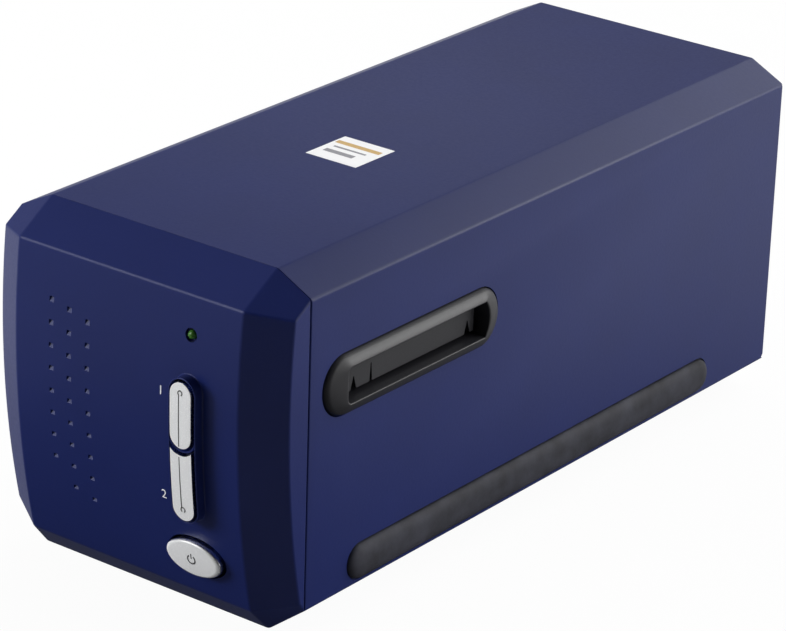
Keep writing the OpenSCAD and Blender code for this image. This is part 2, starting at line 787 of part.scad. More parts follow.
module power_button() {
    dome_r = 42;
    edge = power_gap + flange_w;
    color(SILVER) intersection() {
        button(power_rise, power_z) {
            translate([0, power_z]) polygon(ellipse(power_w / 2, power_h / 2));
            translate([0, power_z]) polygon(ellipse(power_w / 2 + edge, power_h / 2 + edge));
        }
        translate([control_x, face_y(power_z, power_rise) + dome_r, power_z]) sphere(r = dome_r, $fn = 96);
    }
}

module plunger(z) {
    front = board_y - switch_d - plunger_out;
    rod_y(plunger_r, front, front + plunger_out + plunger_in, control_x, z);
}

module upper_plunger() { color("white") plunger(upper_key_z); }
module lower_plunger() { color("white") plunger(lower_key_z); }
module power_plunger() { color("white") plunger(power_z); }

module switch_housings() {
    color(BLACK) for (z = switch_zs) difference() {
        block([control_x - switch_w / 2, board_y - switch_d, z - switch_w / 2],
            [control_x + switch_w / 2, board_y, z + switch_w / 2]);
        rod_y(plunger_r + run_gap, board_y - switch_d - 1, board_y - 0.4, control_x, z);
    }
}

module button_board() {
    color(BOARD) difference() {
        block([button_board_x[0], board_y, button_board_z[0]],
            [button_board_x[1], board_y + pcb, button_board_z[1]]);
        for (x = button_post_x, z = button_post_z)
            rod_y(m25[0] + hole_gap, board_y - 1, board_y + pcb + 1, x, z);
    }
}

// Round lamp in the bezel on two legs down to the board
module status_led() {
    front = face_y(led_z) + 0.4;
    color("#3f7d2a") {
        translate([control_x, front, led_z]) sphere(r = led_r);
        rod_y(led_r, front, front + 6, control_x, led_z);
        rod_y(led_r + 0.4, front + 5, front + 6, control_x, led_z);
        for (s = [-1, 1]) rod_y(0.25, front + 5.5, board_y, control_x + 0.9 * s, led_z);
    }
}

// ---------------------------------------------------------------------------------------
// Boards and connectors
// ---------------------------------------------------------------------------------------

module main_board() {
    color(BOARD) difference() {
        block([-main_x, main_front, main_board_z], [main_x, main_rear, main_top]);
        for (s = [-1, 1], y = board_hole_ys)
            rod_z(m25[0] + hole_gap, main_board_z - 1, main_top + 1, s * (main_x - 4), y);
    }
}

module usb_socket() {
    y = [main_rear - 14, panel_y + wall - socket_back];
    shell = 1.6;
    tongue = [2.8, 1.6];
    mid_z = main_top + socket_h / 2;
    in_x = usb_w / 2 - shell;
    color(SILVER) {
        difference() {
            block([usb_x - usb_w / 2, y[0], main_top], [usb_x + usb_w / 2, y[1], main_top + socket_h]);
            block([usb_x - in_x, y[1] - 9, main_top + shell],
                [usb_x + in_x, y[1] + 1, main_top + socket_h - shell]);
        }
        block([usb_x - tongue[0], y[1] - 9.5, mid_z - tongue[1]],
            [usb_x + tongue[0], y[1] - 0.8, mid_z + tongue[1]]);
    }
}

module power_inlet() {
    y = [main_rear - 12, panel_y + wall - socket_back];
    hole_r = 3.1;
    hole_d = 9.5;
    hole_z = main_top + 6.2;
    color(BLACK) {
        difference() {
            block([inlet_x - inlet_w / 2, y[0], main_top],
                [inlet_x + inlet_w / 2, y[1], main_top + socket_h]);
            rod_y(hole_r, y[1] - hole_d, y[1] + 1, inlet_x, hole_z);
        }
        // Centre contact
        rod_y(1, y[1] - hole_d - 0.5, y[1] - 0.8, inlet_x, hole_z);
    }
}

// Cable connector, processor, memory and two capacitors
module board_parts() {
    color(BLACK) {
        block([-12, rear_y - 56, main_top], [12, rear_y - 50, main_top + 3]);
        block([-8, main_front + 30, main_top], [8, main_front + 46, main_top + 1.5]);
        block([14, main_front + 26, main_top], [24, main_front + 44, main_top + 1.2]);
        for (x = [-26, -16]) rod_z(4, main_top, main_top + 8.5, x, main_front + 14);
    }
}

// Ribbon from the sensor board back, down through the chassis and on to the main board
module flat_cable() {
    t = 0.4;
    r = 6;
    start_y = tub_rear + pcb + t;
    turn_y = rear_y - 44;
    high = optic_z - 10;
    low = main_top + 1.5;
    color("#d8d8d2") plate_x(-10, 10) {
        translate([start_y, high - t / 2]) square([turn_y - start_y, t]);
        translate([turn_y + r - t / 2, low + r]) square([t, high - low - 2 * r]);
        translate([rear_y - 50, low - t / 2]) square([turn_y - rear_y + 50, t]);
        for (e = [[high - r, 0], [low + r, 1]]) translate([turn_y, e[0]]) mirror([0, e[1]]) intersection() {
            difference() {
                circle(r = r + t / 2);
                circle(r = r - t / 2);
            }
            square(2 * r);
        }
    }
}

// ---------------------------------------------------------------------------------------
// Chassis and film track
// ---------------------------------------------------------------------------------------

module chassis_plate() {
    color(STEEL) difference() {
        union() {
            block([-chassis_x, chassis_front, chassis_z], [chassis_x, chassis_rear, chassis_top]);
            // Stiffening flanges
            for (s = [-1, 1]) block([s * chassis_x, mouth_rear + 6, chassis_z],
                [s * (chassis_x - sheet), chassis_rear - 32, chassis_top + flange_h]);
            // Tab that carries the idler pulley
            block([plate_x, idler_y - 8, chassis_z], [plate_x + sheet, idler_y + 8, belt_z + 8]);
        }
        block([-14, rear_y - 50, chassis_z - 1], [14, rear_y - 32, chassis_top + 1]);
        for (s = [-1, 1], y = chassis_post_ys)
            rod_z(m3[0] + hole_gap, chassis_z - 1, chassis_top + 1, s * chassis_post_x, y);
        rod_x(shaft_r, plate_x - 1, plate_x + sheet + 1, idler_y, belt_z);
    }
}

module film_track() {
    color(BLACK) difference() {
        union() {
            block([-track_x, track_front - track_t, track_floor - track_floor_t],
                [track_x, track_rear + track_t, track_floor]);
            for (y = [[track_front - track_t, track_front], [track_rear, track_rear + track_t]])
                block([-track_x, y[0], track_floor - 1], [track_x, y[1], mouth_hi]);
            for (s = [-1, 1], y = [track_front + 4, track_rear - 4])
                rod_z(track_post_r, chassis_top, track_floor - 1, s * track_post_x, y);
            // Ears for the detent's pin
            for (z = [detent_zs[0] - detent_play - detent_ear_t, detent_zs[1] + detent_play])
                block([detent_x - 3, track_rear + 0.5, z], [detent_x + 3, detent_y + 2.2, z + detent_ear_t]);
        }
        block([-window_x, slot_y - window_y, track_floor - 5],
            [window_x, slot_y + window_y, track_floor + 1]);
        // Window for the detent's nose
        block([-3.5, track_rear - 1, detent_zs[0] - 0.4],
            [3.5, track_rear + track_t + 1, detent_zs[1] + 0.4]);
        rod_z(detent_pin_r, slot_z - 10, slot_z + 10, detent_x, detent_y);
    }
}

module detent_lever() {
    z = detent_zs;
    nose_r = 2.6;
    color(SILVER) difference() {
        union() {
            block([-4, detent_y - detent_t / 2, z[0]], [detent_x, detent_y + detent_t / 2, z[1]]);
            rod_z(detent_t, z[0], z[1], detent_x, detent_y);
            intersection() {
                rod_z(nose_r, z[0], z[1], 0, track_rear - detent_nose + nose_r);
                block([-nose_r, track_rear - detent_nose, z[0]], [nose_r, detent_y, z[1]]);
            }
            block([-nose_r, track_rear - detent_nose + nose_r, z[0]], [nose_r, detent_y, z[1]]);
        }
        rod_z(detent_pin_r + run_gap, z[0] - 1, z[1] + 1, detent_x, detent_y);
        rod_z(detent_t + 0.6, z[1] - detent_coil, z[1] + 1, detent_x, detent_y);
    }
}

module detent_pin() {
    reach = detent_play + detent_ear_t;
    color(STEEL) rod_z(detent_pin_r, detent_zs[0] - reach, detent_zs[1] + reach, detent_x, detent_y);
}

// Coil around the lever's pin, with one leg along the lever's back
module detent_spring() {
    r = detent_pin_r + run_gap + spring_wire * 0.7;
    run = detent_coil - 2.5 * spring_wire;
    path = concat(coil(r, 3, run), [[-1, r, 0], [-8, r, 0]]);
    color(STEEL) translate([detent_x, detent_y, detent_zs[1] - detent_coil + spring_wire])
        wire(path, spring_wire / 2);
}

module guide_rod() { color(STEEL) rod_y(rod_r, guide_ys[0], guide_ys[1] + block_l, guide_x, guide_z); }

module support_rod() { color(STEEL) rod_y(support_r, support_ys[0], support_ys[1], support_x, support_z); }

module rod_blocks() {
    color(BLACK) {
        for (y = guide_ys) difference() {
            block([guide_x - 7, y, chassis_top], [guide_x + 7, y + block_l, guide_z + rod_r + 3]);
            rod_y(rod_r, y - 1, y + block_l + 1, guide_x, guide_z);
        }
        for (y = [support_ys[0], support_ys[1] - 6]) difference() {
            block([support_x - 4.5, y, chassis_top], [support_x + 4.5, y + 6, support_z + support_r + 2.5]);
            rod_y(support_r, y - 1, y + 7, support_x, support_z);
        }
    }
}

// ---------------------------------------------------------------------------------------
// Scan carriage
// ---------------------------------------------------------------------------------------

// Turns a piece onto the mirror's slope, with its face on the optical axis
module on_slope() {
    translate([0, slot_y, optic_z]) rotate([-45, 0, 0]) children();
}

module carriage_tub() {
    in_x = tub_x - tub_t;
    color(BLACK) difference() {
        union() {
            difference() {
                block([-tub_x, tub_front, tub_lo], [tub_x, tub_rear, tub_hi]);
                block([-in_x, tub_front + tub_t, tub_lo + tub_t], [in_x, tub_rear - tub_t, tub_hi + 1]);
            }
            // Sloped ledges behind the mirror
            intersection() {
                on_slope() for (s = [-1, 1])
                    block([s * (in_x + 1), -mirror_l / 2, -mirror_t - 3],
                        [s * (in_x - 2.5), mirror_l / 2, -mirror_t]);
                block([-tub_x, tub_front, tub_lo], [tub_x, tub_rear, tub_hi]);
            }
            // Saddle of the lens barrel
            block([-lens_r - 3, lens_y - 8, tub_lo + 1], [lens_r + 3, lens_y + 8, optic_z]);
            // Shelf under the lamp arm's foot
            block([-in_x - 1, arm_post_y, tub_hi - 4], [in_x + 1, arm_post_y + 14, tub_hi]);
            // Ears of the guide rod's bushes
            for (y = ear_ys) {
                rod_y(ear_r, y, y + ear_l, guide_x, guide_z);
                block([tub_x - 1, y, guide_z - 4], [guide_x, y + ear_l, guide_z + 4]);
            }
            // Fork on the support rod
            block([support_x - 4.5, fork_y, support_z - 6], [-tub_x + 1, fork_y + 8, support_z + 6]);
            // Flag of the home sensor
            block([guide_x, ear_ys[1], guide_z + 3], [home_x + 0.5, ear_ys[1] + 6, guide_z + 5]);
            block([home_x - 0.5, ear_ys[1] - flag_l, guide_z - 6],
                [home_x + 0.5, ear_ys[1] + 6, guide_z + 5]);
        }
        rod_y(lens_r, lens_y - 9, lens_y + 9, 0, optic_z);
        for (y = ear_ys) rod_y(bush_r, y - 5, y + ear_l + 1, guide_x, guide_z);
        block([support_x - 6, fork_y - 1, support_z - support_r - 0.3],
            [support_x + 3.5, fork_y + 9, support_z + support_r + 0.3]);
        block([-sensor_w / 2 - 0.2, tub_rear - tub_t - 1, optic_z - sensor_h / 2 - 0.2],
            [sensor_w / 2 + 0.2, tub_rear + 1, optic_z + sensor_h / 2 + 0.2]);
    }
}

module rod_bushes() {
    color(BRASS) for (y = ear_ys) difference() {
        rod_y(bush_r, y, y + ear_l, guide_x, guide_z);
        rod_y(rod_r + run_gap, y - 1, y + ear_l + 1, guide_x, guide_z);
    }
}

module scan_mirror() {
    half = tub_x - tub_t - 1.3;
    color(GLASS) on_slope() block([-half, -mirror_l / 2, -mirror_t], [half, mirror_l / 2, 0]);
}

module lens_barrel() {
    color(BLACK) difference() {
        rod_y(lens_r, lens_y - 13, lens_y + 13, 0, optic_z);
        rod_y(lens_r - 3, lens_y - 14, lens_y + 14, 0, optic_z);
        for (y = [lens_y - 14, lens_y + 8]) rod_y(lens_r - 1.5, y, y + 6, 0, optic_z);
    }
}

// A biconvex glass at each end of the barrel, its bows arcs of one radius
module lens_glasses() {
    r = lens_r - 1.5;
    edge = 0.9;
    bow_r = 26;
    steps = 8;
    rim = sqrt(bow_r * bow_r - r * r);
    bow = [for (i = [0:steps]) let (x = r * i / steps) [x, edge + sqrt(bow_r * bow_r - x * x) - rim]];
    color(GLASS) for (y = [lens_y - 10, lens_y + 10]) translate([0, y, optic_z]) rotate([90, 0, 0])
        rotate_extrude() polygon(concat(bow, [for (i = [steps:-1:0]) [bow[i][0], -bow[i][1]]]));
}

module sensor_board() {
    color(BOARD) block([-tub_x + 2, tub_rear, optic_z - 14], [tub_x - 2, tub_rear + pcb, optic_z + 14]);
}

module line_sensor() {
    color(BLACK) block([-sensor_w / 2, tub_rear - 4, optic_z - sensor_h / 2],
        [sensor_w / 2, tub_rear, optic_z + sensor_h / 2]);
}

// Folded sheet: foot, post behind the passage, and the arm that holds the lamp over it
module lamp_arm() {
    front = slot_y - 12;
    color(STEEL) {
        block([-arm_x, arm_post_y, tub_hi], [arm_x, arm_post_y + 12, tub_hi + arm_t]);
        block([-arm_x, arm_post_y, tub_hi], [arm_x, arm_post_y + arm_t, arm_z]);
        block([-arm_x, front, arm_z - arm_t], [arm_x, arm_post_y + arm_t, arm_z]);
        for (s = [-1, 1]) block([s * arm_x, front, arm_z - 6], [s * (arm_x - arm_t), arm_post_y + 1, arm_z]);
    }
}

module lamp_board() {
    z = arm_z - arm_t;
    x = arm_x - 2.5;
    diode = 1.2;
    pitch = (x - diode - 2.3) / 4;
    color(BOARD) block([-x, slot_y - 7, z - pcb], [x, slot_y + 7, z]);
    color("white") for (i = [-4:4])
        block([pitch * i - diode, slot_y - diode, z - pcb - 0.8],
            [pitch * i + diode, slot_y + diode, z - pcb]);
}

module lamp_diffuser() {
    top = arm_z - arm_t - pcb;
    x = arm_x - 2.5;
    color("white") difference() {
        block([-x, slot_y - 7, top - 7], [x, slot_y + 7, top]);
        block([-x + 1.2, slot_y - 5.8, top - 5.8], [x - 1.2, slot_y + 5.8, top + 1]);
    }
}

// Jaws around the belt's upper run, on a bracket from the tub
module belt_clamp() {
    in_x = belt_x + belt_w / 2 + belt_gap;
    y = clamp_y;
    low = belt_run - belt_gap;
    high = belt_run + belt_t + belt_gap;
    color(STEEL) {
        block([belt_x - belt_w / 2, y, low - 3], [-tub_x, y + 12, low]);
        block([in_x, y, low - 1], [in_x + 2.5, y + 12, high + 1]);
        block([belt_x - belt_w / 2, y, high], [in_x + 2.5, y + 12, high + 2]);
    }
}

// ---------------------------------------------------------------------------------------
// Belt drive
// ---------------------------------------------------------------------------------------

module drive_motor() {
    x = plate_x + sheet;
    color(STEEL) difference() {
        union() {
            rod_x(motor_r, x, x + motor_l, motor_y, belt_z);
            block([x, motor_y - motor_r - 4, belt_z - 5],
                [x + 1, motor_y + motor_r + 4, belt_z + 5]);
        }
        rod_x(shaft_r + run_gap, x - 1, x + motor_l - 4, motor_y, belt_z);
        for (s = [-1, 1]) rod_x(m3[0], x - 1, x + 1.5, motor_y + s * (motor_r + 1.5), belt_z);
    }
}

module motor_bracket() {
    front = motor_y - motor_r - 5;
    foot = 10;
    color(STEEL) difference() {
        union() {
            block([plate_x, front, chassis_top], [plate_x + sheet, motor_y + 11.9, belt_z + 10]);
            block([plate_x, front, chassis_top], [plate_x + foot, motor_y - 2, chassis_top + sheet]);
        }
        rod_x(shaft_r + 1.5, plate_x - 1, plate_x + sheet + 1, motor_y, belt_z);
        rod_x(m3[0], plate_x - 1, plate_x + sheet + 1, motor_y - motor_r - 1.5, belt_z);
    }
}

module motor_shaft() {
    color(STEEL) rod_x(shaft_r, belt_x - belt_w / 2 - 2, plate_x + sheet + motor_l - 6, motor_y, belt_z);
}

module pulley(y, bore) {
    half = belt_w / 2 + belt_gap;
    difference() {
        union() {
            rod_x(pulley_r, belt_x - half, belt_x + half, y, belt_z);
            for (x = [belt_x - half - pulley_flange_t, belt_x + half])
                rod_x(pulley_flange_r, x, x + pulley_flange_t, y, belt_z);
        }
        rod_x(bore, belt_x - half - 2, belt_x + half + 2, y, belt_z);
    }
}

module motor_pulley() { color(BRASS) pulley(motor_y, shaft_r); }
module idler_pulley() { color(SILVER) pulley(idler_y, shaft_r + run_gap); }

module idler_pin() {
    end = belt_x - belt_w / 2 - belt_gap - pulley_flange_t;
    color(STEEL) {
        rod_x(shaft_r, end - belt_gap, plate_x + sheet, idler_y, belt_z);
        rod_x(shaft_r + 1, end - belt_gap - 1, end - belt_gap, idler_y, belt_z);
    }
}

module drive_belt() {
    r = pulley_r + belt_gap / 2;
    color(RUBBER) plate_x(belt_x - belt_w / 2, belt_x + belt_w / 2) difference() {
        belt_loop(r + belt_t);
        belt_loop(r);
    }
}

module belt_loop(r) {
    translate([idler_y, belt_z - r]) square([motor_y - idler_y, 2 * r]);
    for (y = [idler_y, motor_y]) translate([y, belt_z]) circle(r = r);
}

// Forked light gate that the carriage's flag enters at its front limit
module home_sensor() {
    y = ear_ys[1] - scan_half - flag_l - 0.5;
    x = home_x;
    color(BLACK) {
        block([x - 4.5, y, chassis_top], [x + 3.5, y + 8, guide_z - 10]);
        block([x - 4.5, y, chassis_top], [x - 1.8, y + 8, guide_z]);
        block([x + 1.8, y, chassis_top], [x + 3.5, y + 8, guide_z]);
    }
}

// ---------------------------------------------------------------------------------------
// Fasteners
// ---------------------------------------------------------------------------------------

module case_screws() {
    color(STEEL) for (s = [-1, 1]) {
        for (y = case_screw_ys) translate([s * case_screw_x, y, case_screw_head + m3[2]])
            screw(m3, lug_hi - 2 - case_screw_head - m3[2]);
        translate([s * rear_screw_x, panel_y + 1, rear_screw_z]) rotate([90, 0, 0]) screw(m3, 8);
    }
}

module chassis_screws() {
    color(STEEL) for (s = [-1, 1], y = chassis_post_ys)
        translate([s * chassis_post_x, y, chassis_top]) mirror([0, 0, 1]) screw(m3, 8);
}

module board_screws() {
    color(STEEL) {
        for (s = [-1, 1], y = board_hole_ys)
            translate([s * (main_x - 4), y, main_top]) mirror([0, 0, 1]) screw(m25, pcb + 3);
        for (x = button_post_x, z = button_post_z)
            translate([x, board_y + pcb, z]) rotate([90, 0, 0]) screw(m25, pcb + 5);
    }
}

top_cover();
base_tray();
front_bezel();
rear_panel();
slot_frame_right();
slot_frame_left();
dust_door_right();
dust_door_left();
door_pin_right();
door_pin_left();
door_spring_right();
door_spring_left();
side_grip_right();
side_grip_left();
status_led();
upper_key();
lower_key();
power_button();
button_board();
switch_housings();
upper_plunger();
lower_plunger();
power_plunger();
feet();
top_label();
usb_socket();
power_inlet();
main_board();
board_parts();
chassis_plate();
film_track();
detent_lever();
detent_pin();
detent_spring();
guide_rod();
support_rod();
rod_blocks();
carriage_tub();
rod_bushes();
scan_mirror();
lens_barrel();
lens_glasses();
sensor_board();
line_sensor();
lamp_arm();
lamp_board();
lamp_diffuser();
drive_motor();
motor_bracket();
motor_shaft();
motor_pulley();
drive_belt();
belt_clamp();
idler_pulley();
idler_pin();
home_sensor();
flat_cable();
case_screws();
chassis_screws();
board_screws();
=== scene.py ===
# %% [markdown]
# # A desktop film scanner, dressed
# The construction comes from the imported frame: every piece at its real size, already in place.
# This lesson gives each surface its finish and makes the outer mouldings again as smooth
# surfaces, because a moulded case has softly rounded edges that catch a thin line of light.
# Sizes are in millimetres in the code and become metres when a mesh is made.

# %% Tools and the frame
import json
import math

import bmesh
import bpy
import numpy as np
from mathutils import Matrix, Vector


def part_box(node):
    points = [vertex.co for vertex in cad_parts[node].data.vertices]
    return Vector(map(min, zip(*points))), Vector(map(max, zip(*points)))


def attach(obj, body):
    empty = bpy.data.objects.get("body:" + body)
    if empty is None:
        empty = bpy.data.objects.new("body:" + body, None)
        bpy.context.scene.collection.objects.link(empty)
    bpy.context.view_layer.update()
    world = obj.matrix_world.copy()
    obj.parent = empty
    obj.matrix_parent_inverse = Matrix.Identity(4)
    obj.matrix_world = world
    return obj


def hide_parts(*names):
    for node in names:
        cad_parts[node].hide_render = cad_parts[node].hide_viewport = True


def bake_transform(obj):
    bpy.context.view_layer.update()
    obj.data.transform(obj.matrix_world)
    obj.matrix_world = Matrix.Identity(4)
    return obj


MM = 0.001
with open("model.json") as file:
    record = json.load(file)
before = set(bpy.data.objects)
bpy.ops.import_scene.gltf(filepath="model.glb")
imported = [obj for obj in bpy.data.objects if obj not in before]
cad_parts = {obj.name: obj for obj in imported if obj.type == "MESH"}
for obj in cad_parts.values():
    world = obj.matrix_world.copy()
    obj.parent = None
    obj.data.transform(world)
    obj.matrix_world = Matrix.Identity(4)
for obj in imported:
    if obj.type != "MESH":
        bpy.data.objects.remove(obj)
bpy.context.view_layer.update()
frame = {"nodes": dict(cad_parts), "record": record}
nodes = frame["nodes"]
scene = bpy.context.scene

# %% [markdown]
# ## Sizes read from the frame
# The dressed pieces follow the nodes they stand for, so their sizes are measured on the nodes'
# boxes. Only shapes that a box can't tell, such as the barrel curve of the front, are named here.

# %% Boxes and driving sizes


def box_mm(name):
    """Lowest and highest corner of a node, in millimetres."""
    low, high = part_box(name)
    return np.array(low) / MM, np.array(high) / MM


cover_low, cover_high = box_mm("top_cover")
tray_low, _ = box_mm("base_tray")
frame_low, frame_high = box_mm("slot_frame_right")
grip_low, grip_high = box_mm("side_grip_right")
label_low, label_high = box_mm("top_label")
power_low, power_high = box_mm("power_button")
upper_low, upper_high = box_mm("upper_key")
lower_low, _ = box_mm("lower_key")
led_low, led_high = box_mm("status_led")

HALF_W = cover_high[0]
TOP_Z = cover_high[2]
CASE_Z = tray_low[2]
TOP_BEVEL = (12.9, 6.5)
BOTTOM_BEVEL = (12.0, 9.2)
WALL = 2.5
SEAM_Y = cover_low[1] - 0.15
REAR_Y = cover_high[1]
SIDE_LOW = CASE_Z + BOTTOM_BEVEL[1]
BARREL_R = 297.0
BARREL_Z = 75.2
FACE_HALF = 44.1
SIDE_BEVEL_D = 8.0
FACE_TOP = 109.2
FACE_BOTTOM = 10.0
CHIN = 2.2
FRONT_Y = SEAM_Y - 17.0
BARREL_Y = FRONT_Y + BARREL_R
CONTROL_X = (power_low[0] + power_high[0]) / 2
print("case:", round(2 * HALF_W, 2), "x", round(REAR_Y - FRONT_Y, 2), "x", round(TOP_Z, 2), "mm")


def face_y(z, rise=0.0):
    """Barrel curve of the front: y = barrel_y - sqrt((R + rise)^2 - (z - z0)^2)."""
    return BARREL_Y - np.sqrt((BARREL_R + rise) ** 2 - (np.asarray(z, float) - BARREL_Z) ** 2)


# %% [markdown]
# ## The camera
# A long lens from the front right, a little above, as for a catalogue picture. The turn about
# its own axis is small but keeps the case's uprights where the eye expects them.

# %% Camera
CAMERA_PLACE = (0.67525, -0.89581, 0.52818)
CAMERA_AZIMUTH = math.radians(37.067)
CAMERA_ELEVATION = math.radians(22.916)
CAMERA_ROLL = math.radians(1.862)
camera_data = bpy.data.cameras.new("camera")
camera_data.sensor_width = 36.0
camera_data.lens = 170.36
camera_data.clip_end = 20.0
camera = bpy.data.objects.new("camera", camera_data)
turn = Matrix.Rotation(CAMERA_AZIMUTH, 4, "Z") @ Matrix.Rotation(math.pi / 2 - CAMERA_ELEVATION, 4, "X")
camera.matrix_world = Matrix.Translation(CAMERA_PLACE) @ turn @ Matrix.Rotation(CAMERA_ROLL, 4, "Z")
scene.collection.objects.link(camera)
scene.camera = camera
print("camera lens:", camera_data.lens, "mm")

# %% [markdown]
# ## Materials
# One helper adds a shader node with its settings and links. Colours are written as sRGB hex and
# turned to linear once. Each material is named for the real one and its finish.

# %% Colour and node helpers


def linear(hex_colour):
    """sRGB hex to linear RGBA: c / 12.92 below 0.04045, else ((c + 0.055) / 1.055) ^ 2.4."""
    c = np.array([int(hex_colour[i:i + 2], 16) for i in (1, 3, 5)]) / 255
    lin = np.where(c <= 0.04045, c / 12.92, ((c + 0.055) / 1.055) ** 2.4)
    return (*lin.tolist(), 1.0)


def add_node(tree, kind, settings=None, links=None, **values):
    """A shader node: attributes from settings, input values by name, links from other sockets."""
    node = tree.nodes.new(kind)
    for key, value in (settings or {}).items():
        setattr(node, key, value)
    for key, value in values.items():
        node.inputs[key.replace("_", " ")].default_value = value
    for key, socket in (links or {}).items():
        tree.links.new(socket, node.inputs[key])
    return node


def new_material(name):
    """An empty material with its output node."""
    material = bpy.data.materials.new(name)
    material.use_nodes = True
    material.node_tree.nodes.clear()
    output = add_node(material.node_tree, "ShaderNodeOutputMaterial")
    return material, material.node_tree, output


def grained(name, dark, light, rough, grain_mm, bump_mm, stretch=(1, 1, 1), patch_mm=28, **shader):
    """A solid material: colour between dark and light in soft patches, roughness a little uneven,
    and a fine noise of the grain's real size as bump. bump_mm is the grain's height."""
    material, tree, output = new_material(name)
    place = add_node(tree, "ShaderNodeTexCoord").outputs["Object"]
    mapped = add_node(tree, "ShaderNodeMapping", links={"Vector": place}, Scale=stretch).outputs["Vector"]
    slow = add_node(tree, "ShaderNodeTexNoise", links={"Vector": place}, Scale=1000 / patch_mm, Detail=3.0)
    fine = add_node(tree, "ShaderNodeTexNoise", links={"Vector": mapped},
                    Scale=1000 / grain_mm / 2, Detail=2.0, Roughness=0.55)
    tint = add_node(tree, "ShaderNodeMix", {"data_type": "RGBA"}, {"Factor": slow.outputs["Fac"]})
    tint.inputs["A"].default_value = linear(dark)
    tint.inputs["B"].default_value = linear(light)
    uneven = add_node(tree, "ShaderNodeMapRange", links={"Value": fine.outputs["Fac"]},
                      To_Min=rough[0], To_Max=rough[1])
    bump = add_node(tree, "ShaderNodeBump", links={"Height": fine.outputs["Fac"]},
                    Strength=1.0, Distance=bump_mm * MM)
    surface = add_node(tree, "ShaderNodeBsdfPrincipled", links={
        "Base Color": tint.outputs["Result"], "Roughness": uneven.outputs["Result"],
        "Normal": bump.outputs["Normal"]}, **shader)
    tree.links.new(surface.outputs["BSDF"], output.inputs["Surface"])
    return material


def rising(tree, vector, direction, edges, strengths):
    """A value that rises smoothly along a direction, from one strength to another."""
    along = add_node(tree, "ShaderNodeVectorMath", {"operation": "DOT_PRODUCT"}, {0: vector})
    along.inputs[1].default_value = Vector(direction).normalized()
    return add_node(tree, "ShaderNodeMapRange", {"interpolation_type": "SMOOTHSTEP"},
                    {"Value": along.outputs["Value"]}, From_Min=edges[0], From_Max=edges[1],
                    To_Min=strengths[0], To_Max=strengths[1]).outputs["Result"]


def summed(tree, first, *others):
    """The sum of several sockets."""
    total = first
    for other in others:
        total = add_node(tree, "ShaderNodeMath", {"operation": "ADD"}, {0: total, 1: other}).outputs[0]
    return total


# %% [markdown]
# The case is ABS in a deep navy with a fine leather-like moulding texture, satin all over. The
# texture is about 0.5 mm from dimple to dimple; it breaks the shine into a soft sheen.

# %% Mouldings
materials = {}
materials["navy_satin_plastic"] = grained(
    "navy ABS, fine moulded texture", "#142057", "#172460", (0.34, 0.46), 0.55, 0.025,
    Specular_IOR_Level=0.38)
# The slot frames are black ABS with a soft, even shine.
materials["black_gloss_plastic"] = grained(
    "black ABS, half gloss", "#1b1b1f", "#232328", (0.34, 0.42), 0.8, 0.001, Specular_IOR_Level=0.62)
# The doors and the inner mouldings are the same plastic with an eroded, satin surface.
materials["black_satin_plastic"] = grained(
    "black ABS, satin", "#222226", "#2b2b30", (0.42, 0.55), 0.35, 0.015)
# Moulded rubber: matte, slightly dusty, with no clear reflection.
materials["black_rubber"] = grained(
    "black rubber, matte moulded", "#08080c", "#41424e", (0.6, 0.78), 0.4, 0.02,
    patch_mm=7, Specular_IOR_Level=0.35)
# Silver lacquer on ABS: fine metal flakes under a clear coat. The flakes lie flat, so the
# lacquer is almost white on the fronts and turns to dark metal on the walls around them.
materials["silver_plastic"] = grained(
    "silver lacquer on ABS", "#f3f4f6", "#f9fafb", (0.2, 0.32), 0.16, 0.004,
    Coat_Weight=0.3, Coat_Roughness=0.12)
tree = materials["silver_plastic"].node_tree
facing = add_node(tree, "ShaderNodeTexCoord").outputs["Normal"]
turned = rising(tree, facing, (0, -1, 0), (0.3, 0.9), (1.0, 0.08))
tree.links.new(turned, tree.nodes["Principled BSDF"].inputs["Metallic"])
# Natural acetal and polystyrene inside: off-white and waxy.
materials["white_plastic"] = grained(
    "natural acetal, moulded", "#d8d6cf", "#e3e1da", (0.38, 0.5), 0.5, 0.006)
# Polyester label and ribbon film: smooth and slightly glossy.
materials["label_film"] = grained(
    "white polyester film", "#eeeef0", "#f6f6f6", (0.3, 0.36), 0.6, 0.002)

# %% [markdown]
# Metals keep the default IOR. Ground rods show lines round them, sheet is zinc plated with a
# faint spangle, and the bushes are turned brass.

# %% Metals, glass and boards
materials["steel"] = grained(
    "ground steel", "#9a9ca0", "#b2b4b8", (0.22, 0.34), 0.12, 0.002, (1, 6, 1), Metallic=1.0)
materials["zinc_sheet"] = grained(
    "zinc plated sheet, spangled", "#8f9499", "#a9adb1", (0.28, 0.46), 2.2, 0.003, Metallic=1.0)
materials["nickel_plate"] = grained(
    "nickel plate on steel", "#b9b6ae", "#c8c5bd", (0.2, 0.3), 0.3, 0.002, Metallic=1.0)
materials["brass"] = grained(
    "turned brass", "#b08a45", "#c29b52", (0.2, 0.32), 0.1, 0.003, (1, 5, 1), Metallic=1.0)
materials["black_anodised"] = grained(
    "black anodised aluminium", "#15161a", "#1d1e23", (0.32, 0.42), 0.1, 0.003, Metallic=0.6)
materials["circuit_board"] = grained(
    "solder resist on glass fibre", "#0f4326", "#17592f", (0.3, 0.4), 1.3, 0.01, Coat_Weight=0.2)
materials["front_mirror"] = grained(
    "front silvered glass", "#dfe3e6", "#e8ecef", (0.02, 0.04), 3.0, 0.0005, Metallic=1.0)
materials["lens_glass"] = grained(
    "coated optical glass", "#dbe9e6", "#e6efe9", (0.01, 0.02), 3.0, 0.0002,
    IOR=1.6, Transmission_Weight=0.9)
materials["green_lens"] = grained(
    "clear green epoxy", "#2a5c1c", "#55923a", (0.1, 0.16), 0.9, 0.01, Transmission_Weight=0.25)
print("materials:", len(materials))

